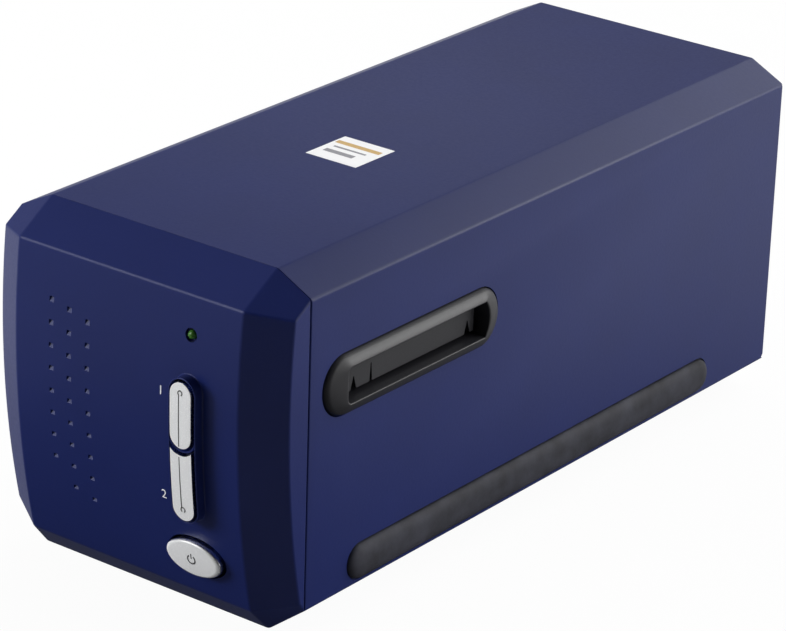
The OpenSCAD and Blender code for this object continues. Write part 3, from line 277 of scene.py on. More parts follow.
# %% [markdown]
# ## From arrays to meshes
# A surface is an array of points on a grid, turned into quads in one step. `smooth` marks an
# edge sharp only where two faces meet at more than the given angle.

# %% Mesh helpers


def grid_faces(rows, columns, loop_rows=False, loop_columns=False):
    """Quads of a rows x columns grid of points, closed round in either direction on request."""
    i, j = np.meshgrid(np.arange(rows - (not loop_rows)), np.arange(columns - (not loop_columns)),
                       indexing="ij")
    i2, j2 = (i + 1) % rows, (j + 1) % columns
    return np.stack([i * columns + j, i2 * columns + j, i2 * columns + j2, i * columns + j2], -1)


def make_mesh(name, points, faces):
    """A mesh object from points in millimetres and faces as lists of indices."""
    mesh = bpy.data.meshes.new(name)
    mesh.from_pydata((np.asarray(points, float).reshape(-1, 3) * MM).tolist(), [],
                     [list(f) for f in faces])
    mesh.update()
    piece = bpy.data.objects.new(name, mesh)
    scene.collection.objects.link(piece)
    return piece


def capped_faces(rows, n):
    """Quads between loops of n points, with a flat cap on the first loop and on the last."""
    caps = [list(range(n)), list(range(rows * n - 1, (rows - 1) * n - 1, -1))]
    return grid_faces(rows, n, loop_columns=True).reshape(-1, 4).tolist() + caps


# A box has eight corners, one for each choice of signs, and six quads between them.
BOX_SIGNS = np.array([[i, j, k] for i in (-1, 1) for j in (-1, 1) for k in (-1, 1)])
BOX_QUADS = np.array([[0, 1, 3, 2], [4, 6, 7, 5], [0, 4, 5, 1], [2, 3, 7, 6], [0, 2, 6, 4], [1, 5, 7, 3]])


def box_faces(count):
    """Quads of several boxes in a row."""
    return (BOX_QUADS[None] + 8 * np.arange(count)[:, None, None]).reshape(-1, 4)


def tidy_mesh(piece, join_mm=0.002):
    """Merge doubled points and turn all faces outwards."""
    work = bmesh.new()
    work.from_mesh(piece.data)
    bmesh.ops.remove_doubles(work, verts=work.verts, dist=join_mm * MM)
    bmesh.ops.dissolve_degenerate(work, edges=work.edges, dist=0.0005 * MM)
    bmesh.ops.recalc_face_normals(work, faces=work.faces)
    work.to_mesh(piece.data)
    work.free()
    return piece


def smooth(piece, angle=32):
    """Smooth shading with sharp edges above an angle, kept as an attribute of the mesh."""
    piece.data.shade_smooth()
    work = bmesh.new()
    work.from_mesh(piece.data)
    for edge in work.edges:
        edge.smooth = len(edge.link_faces) == 2 and edge.calc_face_angle(0) < math.radians(angle)
    work.to_mesh(piece.data)
    work.free()
    return piece


def add_modifier(piece, kind, **settings):
    """A modifier with its settings."""
    modifier = piece.modifiers.new(kind.lower(), kind)
    for key, value in settings.items():
        setattr(modifier, key, value)
    return modifier


def apply_modifiers(piece):
    """Bake the modifiers into the mesh, with nothing left live."""
    graph = bpy.context.evaluated_depsgraph_get()
    mesh = bpy.data.meshes.new_from_object(piece.evaluated_get(graph))
    piece.modifiers.clear()
    piece.data = mesh
    return piece


def weigh_normals(piece):
    """Normals weighted by area keep wide flat faces flat between their narrow rounded edges."""
    add_modifier(piece, "WEIGHTED_NORMAL", mode="FACE_AREA", weight=80, keep_sharp=True)
    return apply_modifiers(piece)


def dress(piece, slot, body="root", stands_for=()):
    """Give a piece its material, its body (None if it bends between two) and its nodes."""
    piece.data.materials.clear()
    piece.data.materials.append(materials[slot])
    if body:
        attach(piece, body)
    if stands_for:
        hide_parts(*stands_for)
    return piece


def triangles(piece):
    """How many triangles the piece's faces make."""
    return sum(len(p.vertices) - 2 for p in piece.data.polygons)


def cut(piece, *cutters):
    """Take the cutters out of the piece, exactly, and delete them."""
    for cutter in cutters:
        add_modifier(piece, "BOOLEAN", object=cutter, operation="DIFFERENCE", solver="EXACT")
    apply_modifiers(piece)
    for cutter in cutters:
        bpy.data.objects.remove(cutter)
    return piece


# %% [markdown]
# ## Softened copies
# Small mouldings have the right shape in the frame already, but with knife edges. A copy is
# merged, its flat faces joined, and its edges rounded by a narrow bevel.

# %% Softened copies of nodes


def softened(name, radius_mm, slot, body="root", steps=2, angle=28):
    """A copy of a node with its sharp edges rounded, standing for the node."""
    piece = bpy.data.objects.new(name + "_soft", nodes[name].data.copy())
    scene.collection.objects.link(piece)
    tidy_mesh(piece)
    work = bmesh.new()
    work.from_mesh(piece.data)
    bmesh.ops.dissolve_limit(work, angle_limit=math.radians(0.3), verts=work.verts, edges=work.edges)
    work.to_mesh(piece.data)
    work.free()
    add_modifier(piece, "BEVEL", width=radius_mm * MM, segments=steps, limit_method="ANGLE",
                 angle_limit=math.radians(angle), harden_normals=False, use_clamp_overlap=True)
    return dress(weigh_normals(smooth(apply_modifiers(piece), 30)), slot, body, [name])


# %% [markdown]
# ## The cover
# One moulding makes the top, both upper bevels and both sides. Its outline is a profile with
# rounded corners, carried along the case; the rims at both ends turn in a little. The section of
# the wall, outside, rims and inside, is one closed loop, so the cover is a clean solid that can
# be cut: two slots, a pocket for each grip, and a small chamfer at each lower rear corner.

# %% Rounded profiles


def rounded_profile(corners, radii, steps=5):
    """Polyline through the corners, each inner corner replaced by an arc of its radius: the arc
    starts r * tan(turn / 2) before the corner and is spaced evenly in angle."""
    corners = np.asarray(corners, float)
    points = [corners[:1]]
    for before, at, after, r in zip(corners, corners[1:], corners[2:], radii):
        u = (at - before) / np.linalg.norm(at - before)
        v = (after - at) / np.linalg.norm(after - at)
        turn_angle = math.acos(np.clip(u @ v, -1, 1))
        reach = r * math.tan(turn_angle / 2)
        side = np.sign(u[0] * v[1] - u[1] * v[0])
        normal = np.array([-u[1], u[0]]) * side
        centre = at - u * reach + normal * r
        a = np.linspace(0, turn_angle, steps + 1)[:, None]
        points.append(centre - normal * r * np.cos(a) + u * r * np.sin(a))
    points.append(corners[-1:])
    return np.vstack(points)


def outward_normals(profile):
    """Unit normals of an open profile that runs so that the outside is on its right."""
    d = np.gradient(profile, axis=0)
    n = np.stack([d[:, 1], -d[:, 0]], 1)
    return n / np.linalg.norm(n, axis=1, keepdims=True)


# %% Cover
EDGE_R = 1.6
INNER_R = 0.4
SIDE_ROLL, TOP_ROLL = 0.4, 0.12
POCKET_GAP = 0.5
PAST = 1.0


def cover_profile(inset=0.0, radius=EDGE_R):
    """Right side up, over the top and down the left side, moved in by inset. A corner c between
    edges with normals m and n moves to c - inset (m + n) / (1 + m . n)."""
    w, h = TOP_BEVEL
    slope = np.array([h, w]) / math.hypot(w, h)
    low = np.array([HALF_W, TOP_Z - h]) - inset * (slope + (1, 0)) / (1 + slope[0])
    high = np.array([HALF_W - w, TOP_Z]) - inset * (slope + (0, 1)) / (1 + slope[1])
    foot, crown = (HALF_W - inset, cover_low[2]), (0, TOP_Z - inset)
    half = rounded_profile([foot, tuple(low), tuple(high), crown], [radius, radius * 1.6])
    return np.vstack([half, (half[:-1] * (-1, 1))[::-1]])


def cover_shell():
    """Profile p(s) with the wall's section (y, inset) at every point: inner rim, front rim rolled
    by r(1 - sin a), rear rim the same, inner rim. The roll is wider on the upright sides, where
    the seam shows, than over the top. The lower ends of the two sides are closed."""
    profile, inner = cover_profile(), cover_profile(WALL - 0.1, INNER_R)
    normals = outward_normals(profile)
    roll = np.where(np.abs(normals[:, :1]) > 0.9, SIDE_ROLL, TOP_ROLL)
    a = np.linspace(0, math.pi / 2, 5)
    start, end = cover_low[1], REAR_Y
    y = np.hstack([start + roll * (1 - np.cos(a)), end - roll * (1 - np.cos(a[::-1]))])
    inset = np.hstack([roll * (1 - np.sin(a)), roll * (1 - np.sin(a[::-1]))])
    outer = np.dstack([profile[:, None] - normals[:, None] * inset[..., None], y[..., None]])
    rims = [np.dstack([inner[:, None], np.full((len(inner), 1, 1), at)]) for at in (start, end)]
    points = np.concatenate([rims[0], outer, rims[1]], axis=1)[..., [0, 2, 1]]
    return tidy_mesh(make_mesh("cover_shell", points, capped_faces(*points.shape[:2])))


def stadium_prism(low, high, x_from, x_to):
    """A prism along x with round ends; low and high are the corners (y, z) of its outline."""
    r = (high[1] - low[1]) / 2
    a = np.radians(np.linspace(-90, 90, 33))
    y = np.concatenate([high[0] - r + r * np.cos(a), low[0] + r - r * np.cos(a)])
    z = low[1] + r + r * np.concatenate([np.sin(a), -np.sin(a)])
    points = np.vstack([np.column_stack([np.full(len(y), x), y, z]) for x in (x_from, x_to)])
    return tidy_mesh(make_mesh("stadium_prism", points, capped_faces(2, len(y))))


def corner_cutter(y_len, z_len):
    """A wedge along x that takes the sharp lower rear corner off both sides. It reaches past the
    case all round, because a cutter whose edges lie in the case's own faces can fail."""
    y, z = REAR_Y, cover_low[2]
    outline = [(y - 1.5 * y_len, z - 0.5 * z_len), (y + 0.5 * y_len, z + 1.5 * z_len), (y + 3, z - 3)]
    points = [(x, *corner) for x in (-HALF_W - PAST, HALF_W + PAST) for corner in outline]
    return tidy_mesh(make_mesh("corner_cutter", points, capped_faces(2, 3)))


# The slots go through both sides. A grip lies in a shallow pocket, a little wider all round.
cover = cover_shell()
pocket = grip_low[1:] - POCKET_GAP, grip_high[1:] + POCKET_GAP
cut(cover, stadium_prism(frame_low[1:] + 0.05, frame_high[1:] - 0.05, -HALF_W - 5, HALF_W + 5),
    stadium_prism(*pocket, grip_low[0], HALF_W + PAST),
    stadium_prism(*pocket, -HALF_W - PAST, -grip_low[0]),
    corner_cutter(1.4, 1.8))
smooth(cover)
dress(cover, "navy_satin_plastic", stands_for=["top_cover"])
print("cover:", triangles(cover), "triangles")

# %% [markdown]
# ## The front bezel
# The front is a barrel curve with bevels all round: two bevels turned about the barrel's own
# axis, a sloping brow and chin, and a small facet at each corner. The cage below has exactly
# those lines as edges, and a bevel modifier rounds them as the mould does.

# %% Bezel cage


def turned_y(x, z):
    """Face and side bevels: the barrel's radius shrinks evenly over the bevel's width."""
    shrink = np.clip(np.abs(x) - FACE_HALF, 0, None) * SIDE_BEVEL_D / (HALF_W - FACE_HALF)
    return BARREL_Y - np.sqrt((BARREL_R - shrink) ** 2 - (np.asarray(z, float) - BARREL_Z) ** 2)


def side_crossing(corner, seam_point, seam_edge):
    """Height where the corner facet meets the side: the facet's plane and the turned bevel agree."""
    n = np.cross(seam_point - corner, seam_edge - corner)
    z = seam_edge[2]
    for _ in range(20):
        y = turned_y(HALF_W, z)
        z = seam_edge[2] - n[1] / n[2] * (y - seam_edge[1])
    return float(z)


BEZEL_BACK = -0.15


def bezel_cage():
    """Columns run up the front at fixed x; rows follow the barrel curve. Outer columns end
    where the corner facets cut them."""
    x_top, z_top = HALF_W - TOP_BEVEL[0], TOP_Z
    shoulder = np.array([HALF_W, SEAM_Y, TOP_Z - TOP_BEVEL[1]])
    crown = np.array([x_top, SEAM_Y, z_top])
    brow = np.array([FACE_HALF, face_y(FACE_TOP), FACE_TOP])
    hip = np.array([HALF_W, SEAM_Y, SIDE_LOW])
    heel = np.array([HALF_W - BOTTOM_BEVEL[0], SEAM_Y - CHIN, CASE_Z])
    jaw = np.array([FACE_HALF, face_y(FACE_BOTTOM), FACE_BOTTOM])
    high = side_crossing(brow, crown, shoulder)
    low = side_crossing(jaw, heel, hip)
    columns = np.array([-HALF_W, -FACE_HALF, FACE_HALF, HALF_W])
    bottoms = np.array([low, FACE_BOTTOM, FACE_BOTTOM, low])
    tops = np.array([high, FACE_TOP, FACE_TOP, high])
    rows = 56
    t = np.linspace(0, 1, rows)[:, None]
    z = bottoms + t * (tops - bottoms)
    x = np.broadcast_to(columns, z.shape)
    points = np.stack([x, turned_y(x, z), z], -1).reshape(-1, 3).tolist()
    faces = grid_faces(rows, 4).reshape(-1, 4).tolist()
    back = BEZEL_BACK
    extra = {}

    def point(key, p):
        """Index of a named point, added once."""
        if key not in extra:
            extra[key] = len(points)
            points.append([float(c) for c in p])
        return extra[key]

    for side in (-1, 1):
        m = np.array([side, 1, 1])
        edge = [r * 4 + (3 if side > 0 else 0) for r in range(rows)]
        inner = [r * 4 + (2 if side > 0 else 1) for r in range(rows)]
        back_shoulder = point((side, "bs"), shoulder * m + (0, back, 0))
        back_crown = point((side, "bc"), crown * m + (0, back, 0))
        back_hip = point((side, "bh"), hip * m + (0, back, 0))
        back_heel = point((side, "bl"), (heel + (0, CHIN, 0)) * m + (0, back, 0))
        front_heel = point((side, "fl"), heel * m)
        faces.append([back_hip, *edge, back_shoulder])
        faces.append([inner[-1], edge[-1], back_shoulder, back_crown])
        faces.append([inner[0], front_heel, back_hip, edge[0]])
        faces.append([front_heel, back_heel, back_hip])
    top = [(rows - 1) * 4 + 1, (rows - 1) * 4 + 2, extra[(1, "bc")], extra[(-1, "bc")]]
    bottom = [1, 2, extra[(1, "fl")], extra[(-1, "fl")]]
    under = [extra[(1, "fl")], extra[(1, "bl")], extra[(-1, "bl")], extra[(-1, "fl")]]
    rim = [extra[(s, k)] for s, ks in ((1, ("bc", "bs", "bh", "bl")), (-1, ("bl", "bh", "bs", "bc")))
           for k in ks]
    faces += [top, bottom, under, rim]
    return make_mesh("front_bezel_shell", points, faces)


bezel = tidy_mesh(bezel_cage())
print("bezel cage:", triangles(bezel), "triangles")

# %% [markdown]
# The cage is a closed block: its edges are rounded first, all but those of the square rim at the
# seam. Then it is hollowed from behind, and the openings for the controls are cut.

# %% Cutters for the front


def bar(name, outline, y0, y1):
    """Prism along Y over a closed outline in x and z, with the outside of the solid outwards."""
    outline = np.asarray(outline, float)
    n = len(outline)
    ends = [np.column_stack([outline[:, 0], np.full(n, y), outline[:, 1]]) for y in (y0, y1)]
    return tidy_mesh(make_mesh(name, np.vstack(ends), capped_faces(2, n)))


def inset_outline(t):
    """The case's eight-sided outline, moved in by t along x and z."""
    x, (tw, th), bw = HALF_W - t, TOP_BEVEL, BOTTOM_BEVEL[0]
    right = [(x, SIDE_LOW + t / 3), (x, TOP_Z - th - t / 3), (x + t / 2 - tw, TOP_Z - t)]
    low = [(x + t / 2 - bw, CASE_Z + t)]
    return [*low, *right, *[(-px, pz) for px, pz in reversed(low + right)]]


def arc(cx, cz, rx, rz, start, end, n=24):
    """Points of an elliptical arc, angles in degrees."""
    a = np.radians(np.linspace(start, end, n))
    return np.column_stack([cx + rx * np.cos(a), cz + rz * np.sin(a)])


def pill_outline(cx, r, low, high):
    """Upright pill: a half circle at each end."""
    return np.vstack([arc(cx, high - r, r, r, 0, 180), arc(cx, low + r, r, r, 180, 360)])


KEY_X = (upper_low[0] + upper_high[0]) / 2
KEY_R = (upper_high[0] - upper_low[0]) / 2 - 0.7
KEY_TOP = upper_high[2] - 0.7
KEY_SPLIT = upper_low[2] + 0.7
KEY_BOTTOM = lower_low[2] + 0.7
KEY_GAP = 0.25
KEY_BRIDGE = 1.9
RIM_RISE = 3.4
# Height of the painted groove shade on the keys, just proud of the caps.
GROOVE_SHADE_RISE = 4.03
POWER_A = (power_high[0] - power_low[0]) / 2 - 1.3
POWER_B = (power_high[2] - power_low[2]) / 2 - 1.3
POWER_Z = (power_low[2] + power_high[2]) / 2
LED_Z = (led_low[2] + led_high[2]) / 2


def lower_key_outline(grow):
    """Pill whose top end is hollowed by a circle about the upper key's round end."""
    r, c = KEY_R + grow, KEY_SPLIT + KEY_R
    hollow = KEY_R + KEY_BRIDGE - grow
    top_angle = math.degrees(math.acos(r / hollow))
    top = arc(KEY_X, c, hollow, hollow, -top_angle, -180 + top_angle)
    return np.vstack([top, arc(KEY_X, KEY_BOTTOM - grow + r, r, r, 180, 360)])


def block_mesh(name, centres, size, turn_x=0.0):
    """Boxes of one size about many centres, all turned about X: corner signs times half size."""
    corner = BOX_SIGNS * np.array(size) / 2
    c, s = math.cos(turn_x), math.sin(turn_x)
    corner = corner @ np.array([[1, 0, 0], [0, c, s], [0, -s, c]])
    points = (np.asarray(centres, float)[:, None] + corner).reshape(-1, 3)
    return make_mesh(name, points, box_faces(len(centres)))


DIMPLE_X = (-29.6, -22.4, -15.0)
DIMPLE_TOP = (93.2, 91.7, 89.7)
DIMPLE_COUNT = (8, 9, 9)
DIMPLE_PITCH = 7.5
DIMPLE_SIZE = (1.8, 0.8, 2.2)
DIMPLE_TILT = math.radians(-30)


def dimple_centres():
    """Three columns of small pockets, each column a little lower than the one before. The tilt
    makes a pocket deep at its top, with a floor that slopes out to a pale lip at its bottom."""
    z = np.concatenate([top - DIMPLE_PITCH * np.arange(n) for top, n in zip(DIMPLE_TOP, DIMPLE_COUNT)])
    x = np.repeat(DIMPLE_X, DIMPLE_COUNT)
    return np.column_stack([x, face_y(z), z])


# %% Bezel shell


def round_edges(piece, radius_mm, angle, square_y):
    """Round every edge sharper than an angle. The rim at square_y is rounded only on the sides."""
    work = bmesh.new()
    work.from_mesh(piece.data)
    limit = (square_y - 0.01) * MM
    side_x = (HALF_W - 0.01) * MM
    edges = [e for e in work.edges if e.calc_face_angle(0) > math.radians(angle)
             and (min(v.co.y for v in e.verts) < limit or min(abs(v.co.x) for v in e.verts) > side_x)]
    bmesh.ops.bevel(work, geom=edges, offset=radius_mm * MM, segments=3, profile=0.5,
                    affect="EDGES", clamp_overlap=True, miter_outer="ARC")
    work.to_mesh(piece.data)
    work.free()


round_edges(bezel, 0.6, 14, SEAM_Y + BEZEL_BACK)
reach = (FRONT_Y - 10, SEAM_Y + 5)
cutters = [
    bar("mouth_of_shell", inset_outline(WALL), SEAM_Y - 2.2, SEAM_Y + 5),
    bar("inside_of_shell", inset_outline(11), SEAM_Y - 7, SEAM_Y),
    bar("hole_upper", pill_outline(KEY_X, KEY_R + KEY_GAP, KEY_SPLIT - KEY_GAP, KEY_TOP + KEY_GAP), *reach),
    bar("hole_lower", lower_key_outline(KEY_GAP), *reach),
    bar("hole_power", arc(CONTROL_X, POWER_Z, POWER_A + 0.8, POWER_B + 0.8, 0, 354, 60), *reach),
    bar("hole_lamp", arc(CONTROL_X, LED_Z, 1.65, 1.65, 0, 345, 24), *reach),
    bar("ring_lamp", arc(CONTROL_X, LED_Z, 2.25, 2.25, 0, 352.5, 48),
        reach[0], float(face_y(LED_Z)) + 1.2),
    block_mesh("dimples", dimple_centres(), DIMPLE_SIZE, DIMPLE_TILT),
]
cut(bezel, *cutters)
weigh_normals(smooth(bezel, 24))
dress(bezel, "navy_satin_plastic", stands_for=["front_bezel"])
tongue = bar("bezel_tongue", inset_outline(WALL + 0.15), SEAM_Y - 1, SEAM_Y + 6)
cut(tongue, bar("inside_of_tongue", inset_outline(WALL + 1.65), SEAM_Y - 2, SEAM_Y + 7))
dress(tongue, "navy_satin_plastic")
print("bezel:", triangles(bezel), "triangles")

# %% [markdown]
# ## The raised rim around the keys
# A low wall follows the keys' outline and the barrel curve. Its cross-section is a profile with
# a foot that flares into the face and a rounded top, carried round the pill.

# %% Key rim


def key_rim():
    """Ring: outline of radius r + d(t) round the pill, raised by h(t) from the barrel curve."""
    inner, outer, rise = KEY_R + 0.5, KEY_R + 1.0, RIM_RISE
    a = np.linspace(0, math.pi, 9)
    crown = np.column_stack([(outer + inner) / 2 + (outer - inner) / 2 * np.cos(a),
                             rise - 0.25 + 0.25 * np.sin(a)])
    foot = np.linspace(0, math.pi / 2, 5)
    flare = np.column_stack([outer + 0.5 * (1 - np.sin(foot)), 0.5 * (1 - np.cos(foot)) - 0.04])
    section = np.vstack([[(outer + 0.5, -0.6)], flare, crown, [(inner, -1.5), (outer, -1.5)]])
    low, high = KEY_BOTTOM + KEY_R, KEY_TOP - KEY_R
    angle = np.radians(np.concatenate([np.linspace(0, 180, 33), np.linspace(180, 360, 33)]))
    straight = np.linspace(0, 1, 14)[1:-1]
    centre_z = np.concatenate([np.full(33, high), np.full(33, low)])
    ring = np.column_stack([np.cos(angle), np.sin(angle), centre_z])
    left = np.column_stack([-np.ones(12), np.zeros(12), high + (low - high) * straight])
    right = np.column_stack([np.ones(12), np.zeros(12), low + (high - low) * straight])
    ring = np.vstack([ring[:33], left, ring[33:], right])
    d, h = section[:, 0][:, None], section[:, 1][:, None]
    x = KEY_X + ring[:, 0] * d
    z = ring[:, 2] + ring[:, 1] * d
    y = face_y(z) - h
    points = np.stack([x, y, z], -1)
    faces = grid_faces(*points.shape[:2], loop_rows=True, loop_columns=True)
    return make_mesh("key_rim", points, faces.reshape(-1, 4))


rim = smooth(tidy_mesh(key_rim()), 40)
dress(rim, "navy_satin_plastic")


def key_bridge():
    """The curved web between the two keys, at the height of the rim."""
    r0, r1 = KEY_R + 0.45, KEY_R + KEY_BRIDGE - 0.45
    c = KEY_SPLIT + KEY_R
    a = np.radians(np.linspace(-168, -12, 25))
    radius = np.linspace(r0, r1, 5)
    lift = RIM_RISE - 0.5 * np.abs(np.linspace(-1, 1, 5)) ** 3
    x = KEY_X + np.clip(np.cos(a)[:, None] * radius, -KEY_R - 0.5, KEY_R + 0.5)
    z = c + np.sin(a)[:, None] * radius
    top = np.stack([x, face_y(z) - lift, z], -1)
    low = top[:, ::-1].copy()
    low[..., 1] = face_y(low[..., 2]) + 1.5
    points = np.concatenate([top, low], 1)
    return make_mesh("key_bridge", points, capped_faces(*points.shape[:2]))


bridge = smooth(tidy_mesh(key_bridge()), 40)
dress(bridge, "navy_satin_plastic")
print("rim and bridge:", triangles(rim) + triangles(bridge), "triangles")

# %% [markdown]
# ## The keys, the power button and the lamp
# The keys are silver lacquered caps with a fine groove down the middle, drawn as a dark line of painted
# shade. The power button is an oval dome. All three keep their bodies, so they travel when they are
# pressed.

# %% Keys
upper = softened("upper_key", 0.3, "silver_plastic", "upper_key", steps=3, angle=30)
lower = softened("lower_key", 0.3, "silver_plastic", "lower_key", steps=3, angle=30)


def slimmed(piece, margin_mm):
    """Draw a cap in from the opening: x and z shrink about the middle by the margin per side."""
    co = np.empty(len(piece.data.vertices) * 3)
    piece.data.vertices.foreach_get("co", co)
    co = co.reshape(-1, 3)
    middle, half = (co.max(0) + co.min(0)) / 2, (co.max(0) - co.min(0)) / 2
    scale = 1 - np.array([margin_mm, 0, margin_mm]) * MM / half
    piece.data.vertices.foreach_set("co", (middle + (co - middle) * scale).ravel())
    piece.data.update()


for cap in (upper, lower):
    slimmed(cap, 0.22)


def groove_shade_line(name, z0, z1, ring_z, body):
    """Painted shade of the key's fine groove: a dark hairline down the key with an open ring at its end,
    0.03 mm proud of the cap.
    """
    z = np.linspace(z0, z1, 12)[:, None]
    x = KEY_X - 0.6 + np.array([-0.13, 0.13])
    line = np.stack([np.broadcast_to(x, (12, 2)), np.broadcast_to(face_y(z, GROOVE_SHADE_RISE), (12, 2)),
                     np.broadcast_to(z, (12, 2))], -1)
    a = np.radians(np.linspace(-60, 240, 25))[:, None]
    r = np.array([0.62, 0.95])
    rz = ring_z + np.sin(a) * r
    ring = np.stack([KEY_X - 0.1 + np.cos(a) * r, face_y(rz, GROOVE_SHADE_RISE), rz], -1)
    points = np.vstack([line.reshape(-1, 3), ring.reshape(-1, 3)])
    faces = np.vstack([grid_faces(12, 2).reshape(-1, 4), grid_faces(25, 2).reshape(-1, 4) + 24])
    piece = make_mesh(name, points, faces)
    add_modifier(piece, "SOLIDIFY", thickness=0.06 * MM, offset=0)
    return dress(tidy_mesh(apply_modifiers(piece)), "black_satin_plastic", body)


# Each dark line is painted shade that stands for the key's groove; it is not print.
groove_shade_line("upper_key_groove_shade", KEY_SPLIT + 0.8, KEY_TOP - 4.2, KEY_TOP - 3.6, "upper_key")
groove_shade_line("lower_key_groove_shade", KEY_BOTTOM + 4.4, KEY_SPLIT - 2.6, KEY_BOTTOM + 3.9, "lower_key")


# %% Numerals beside the keys


def numeral(text, x, z, height):
    """A plain numeral as a thin printed mesh that follows the barrel curve."""
    curve = bpy.data.curves.new("numeral_" + text, "FONT")
    curve.body = text
    curve.size = height * 1.4 * MM
    written = bpy.data.objects.new("numeral_" + text, curve)
    scene.collection.objects.link(written)
    graph = bpy.context.evaluated_depsgraph_get()
    mesh = bpy.data.meshes.new_from_object(written.evaluated_get(graph))
    bpy.data.objects.remove(written)
    flat = np.empty(len(mesh.vertices) * 3)
    mesh.vertices.foreach_get("co", flat)
    flat = flat.reshape(-1, 3) / MM
    flat -= (flat.min(0) + flat.max(0)) / 2
    height_z = z + flat[:, 1]
    points = np.column_stack([x + flat[:, 0], face_y(height_z, 0.02), height_z]) * MM
    mesh.vertices.foreach_set("co", points.ravel())
    piece = bpy.data.objects.new("numeral_" + text, mesh)
    scene.collection.objects.link(piece)
    add_modifier(piece, "SOLIDIFY", thickness=0.04 * MM, offset=0)
    return dress(tidy_mesh(apply_modifiers(piece)), "label_film")


NUMERAL_X, NUMERAL_H = KEY_X - 11, 3.0
numeral("1", NUMERAL_X, 76.5, NUMERAL_H)
numeral("2", NUMERAL_X, 41.7, NUMERAL_H)

# %% Power button
DOME, DOME_SAG = 2.75, 0.3


def power_dome():
    """Ellipse x = a s cos u, z = b s sin u. A shallow dome D - sag s^2 up to s = 0.86, then a
    rolled edge: s runs out by 0.14 sin t while the height falls by 1.2 (1 - cos t)."""
    u = np.linspace(0, 2 * math.pi, 97)[:-1][None]
    rings = [(s, DOME - DOME_SAG * s ** 2) for s in np.linspace(0.02, 0.84, 12)]
    a = np.linspace(0, math.pi / 2, 12)
    edge = DOME - DOME_SAG * 0.86 ** 2
    rings += [(0.86 + 0.14 * math.sin(t), edge - 0.1 * math.sin(t) - 1.2 * (1 - math.cos(t)))
              for t in a]
    rings += [(1.0, -1.8)]
    s, h = np.array(rings).T[:, :, None]
    x = CONTROL_X + POWER_A * s * np.cos(u)
    z = POWER_Z + POWER_B * s * np.sin(u)
    points = np.stack([x, face_y(z) - h, z], -1)
    return make_mesh("power_dome", points, capped_faces(*points.shape[:2]))


dome = smooth(tidy_mesh(power_dome()), 40)
dress(dome, "silver_plastic", "power_button", ["power_button"])


def power_mark():
    """Open ring and a short bar, printed on the dome."""
    a = np.radians(np.linspace(125, 415, 40))[:, None]
    r = np.array([1.25, 1.62])
    ring = np.stack([np.cos(a) * r, np.sin(a) * r], -1)
    bar_xz = np.stack([np.broadcast_to([-0.18, 0.18], (5, 2)),
                       np.broadcast_to(np.linspace(0.3, 2.0, 5)[:, None], (5, 2))], -1)
    flat = np.vstack([ring.reshape(-1, 2), bar_xz.reshape(-1, 2)])
    s2 = (flat[:, 0] / POWER_A) ** 2 + (flat[:, 1] / POWER_B) ** 2
    z = POWER_Z + flat[:, 1]
    points = np.column_stack([CONTROL_X + flat[:, 0], face_y(z) - (DOME + 0.03 - DOME_SAG * s2), z])
    faces = np.vstack([grid_faces(40, 2).reshape(-1, 4), grid_faces(5, 2).reshape(-1, 4) + 80])
    piece = make_mesh("power_mark", points, faces)
    add_modifier(piece, "SOLIDIFY", thickness=0.06 * MM, offset=0)
    return tidy_mesh(apply_modifiers(piece))


dress(power_mark(), "black_satin_plastic", "power_button")


# %% Status lamp


def lamp_dome():
    """Half sphere on a short cylinder: x, z = r cos a, y = -r sin a, then straight back."""
    r = 1.45
    a = np.linspace(math.radians(86), 0, 10)
    ring_r = np.concatenate([r * np.cos(a), [r]])
    ring_y = np.concatenate([-r * np.sin(a), [5.0]]) + float(face_y(LED_Z)) + 0.8
    u = np.linspace(0, 2 * math.pi, 33)[:-1]
    points = np.stack([CONTROL_X + ring_r[:, None] * np.cos(u),
                       np.broadcast_to(ring_y[:, None], (len(ring_y), len(u))),
                       LED_Z + ring_r[:, None] * np.sin(u)], -1)
    return make_mesh("status_lamp_dome", points, capped_faces(*points.shape[:2]))


lamp = smooth(tidy_mesh(lamp_dome()), 40)
dress(lamp, "green_lens", stands_for=["status_led"])
print("controls done")

# %% [markdown]
# ## Slot frames
# Each slot has a half gloss black frame: a ring whose outline goes from a stadium outside to the
# mouth inside. Both outlines have the same number of points, and the ring is a blend that rises
# steeply at its outer edge and gently after it.

# %% Slot frames


def quarter(centre, rx, rz, start, end, n):
    """Part of an ellipse in y and z, angles in degrees."""
    a = np.radians(np.linspace(start, end, n))
    return np.column_stack([centre[0] + rx * np.cos(a), centre[1] + rz * np.sin(a)])


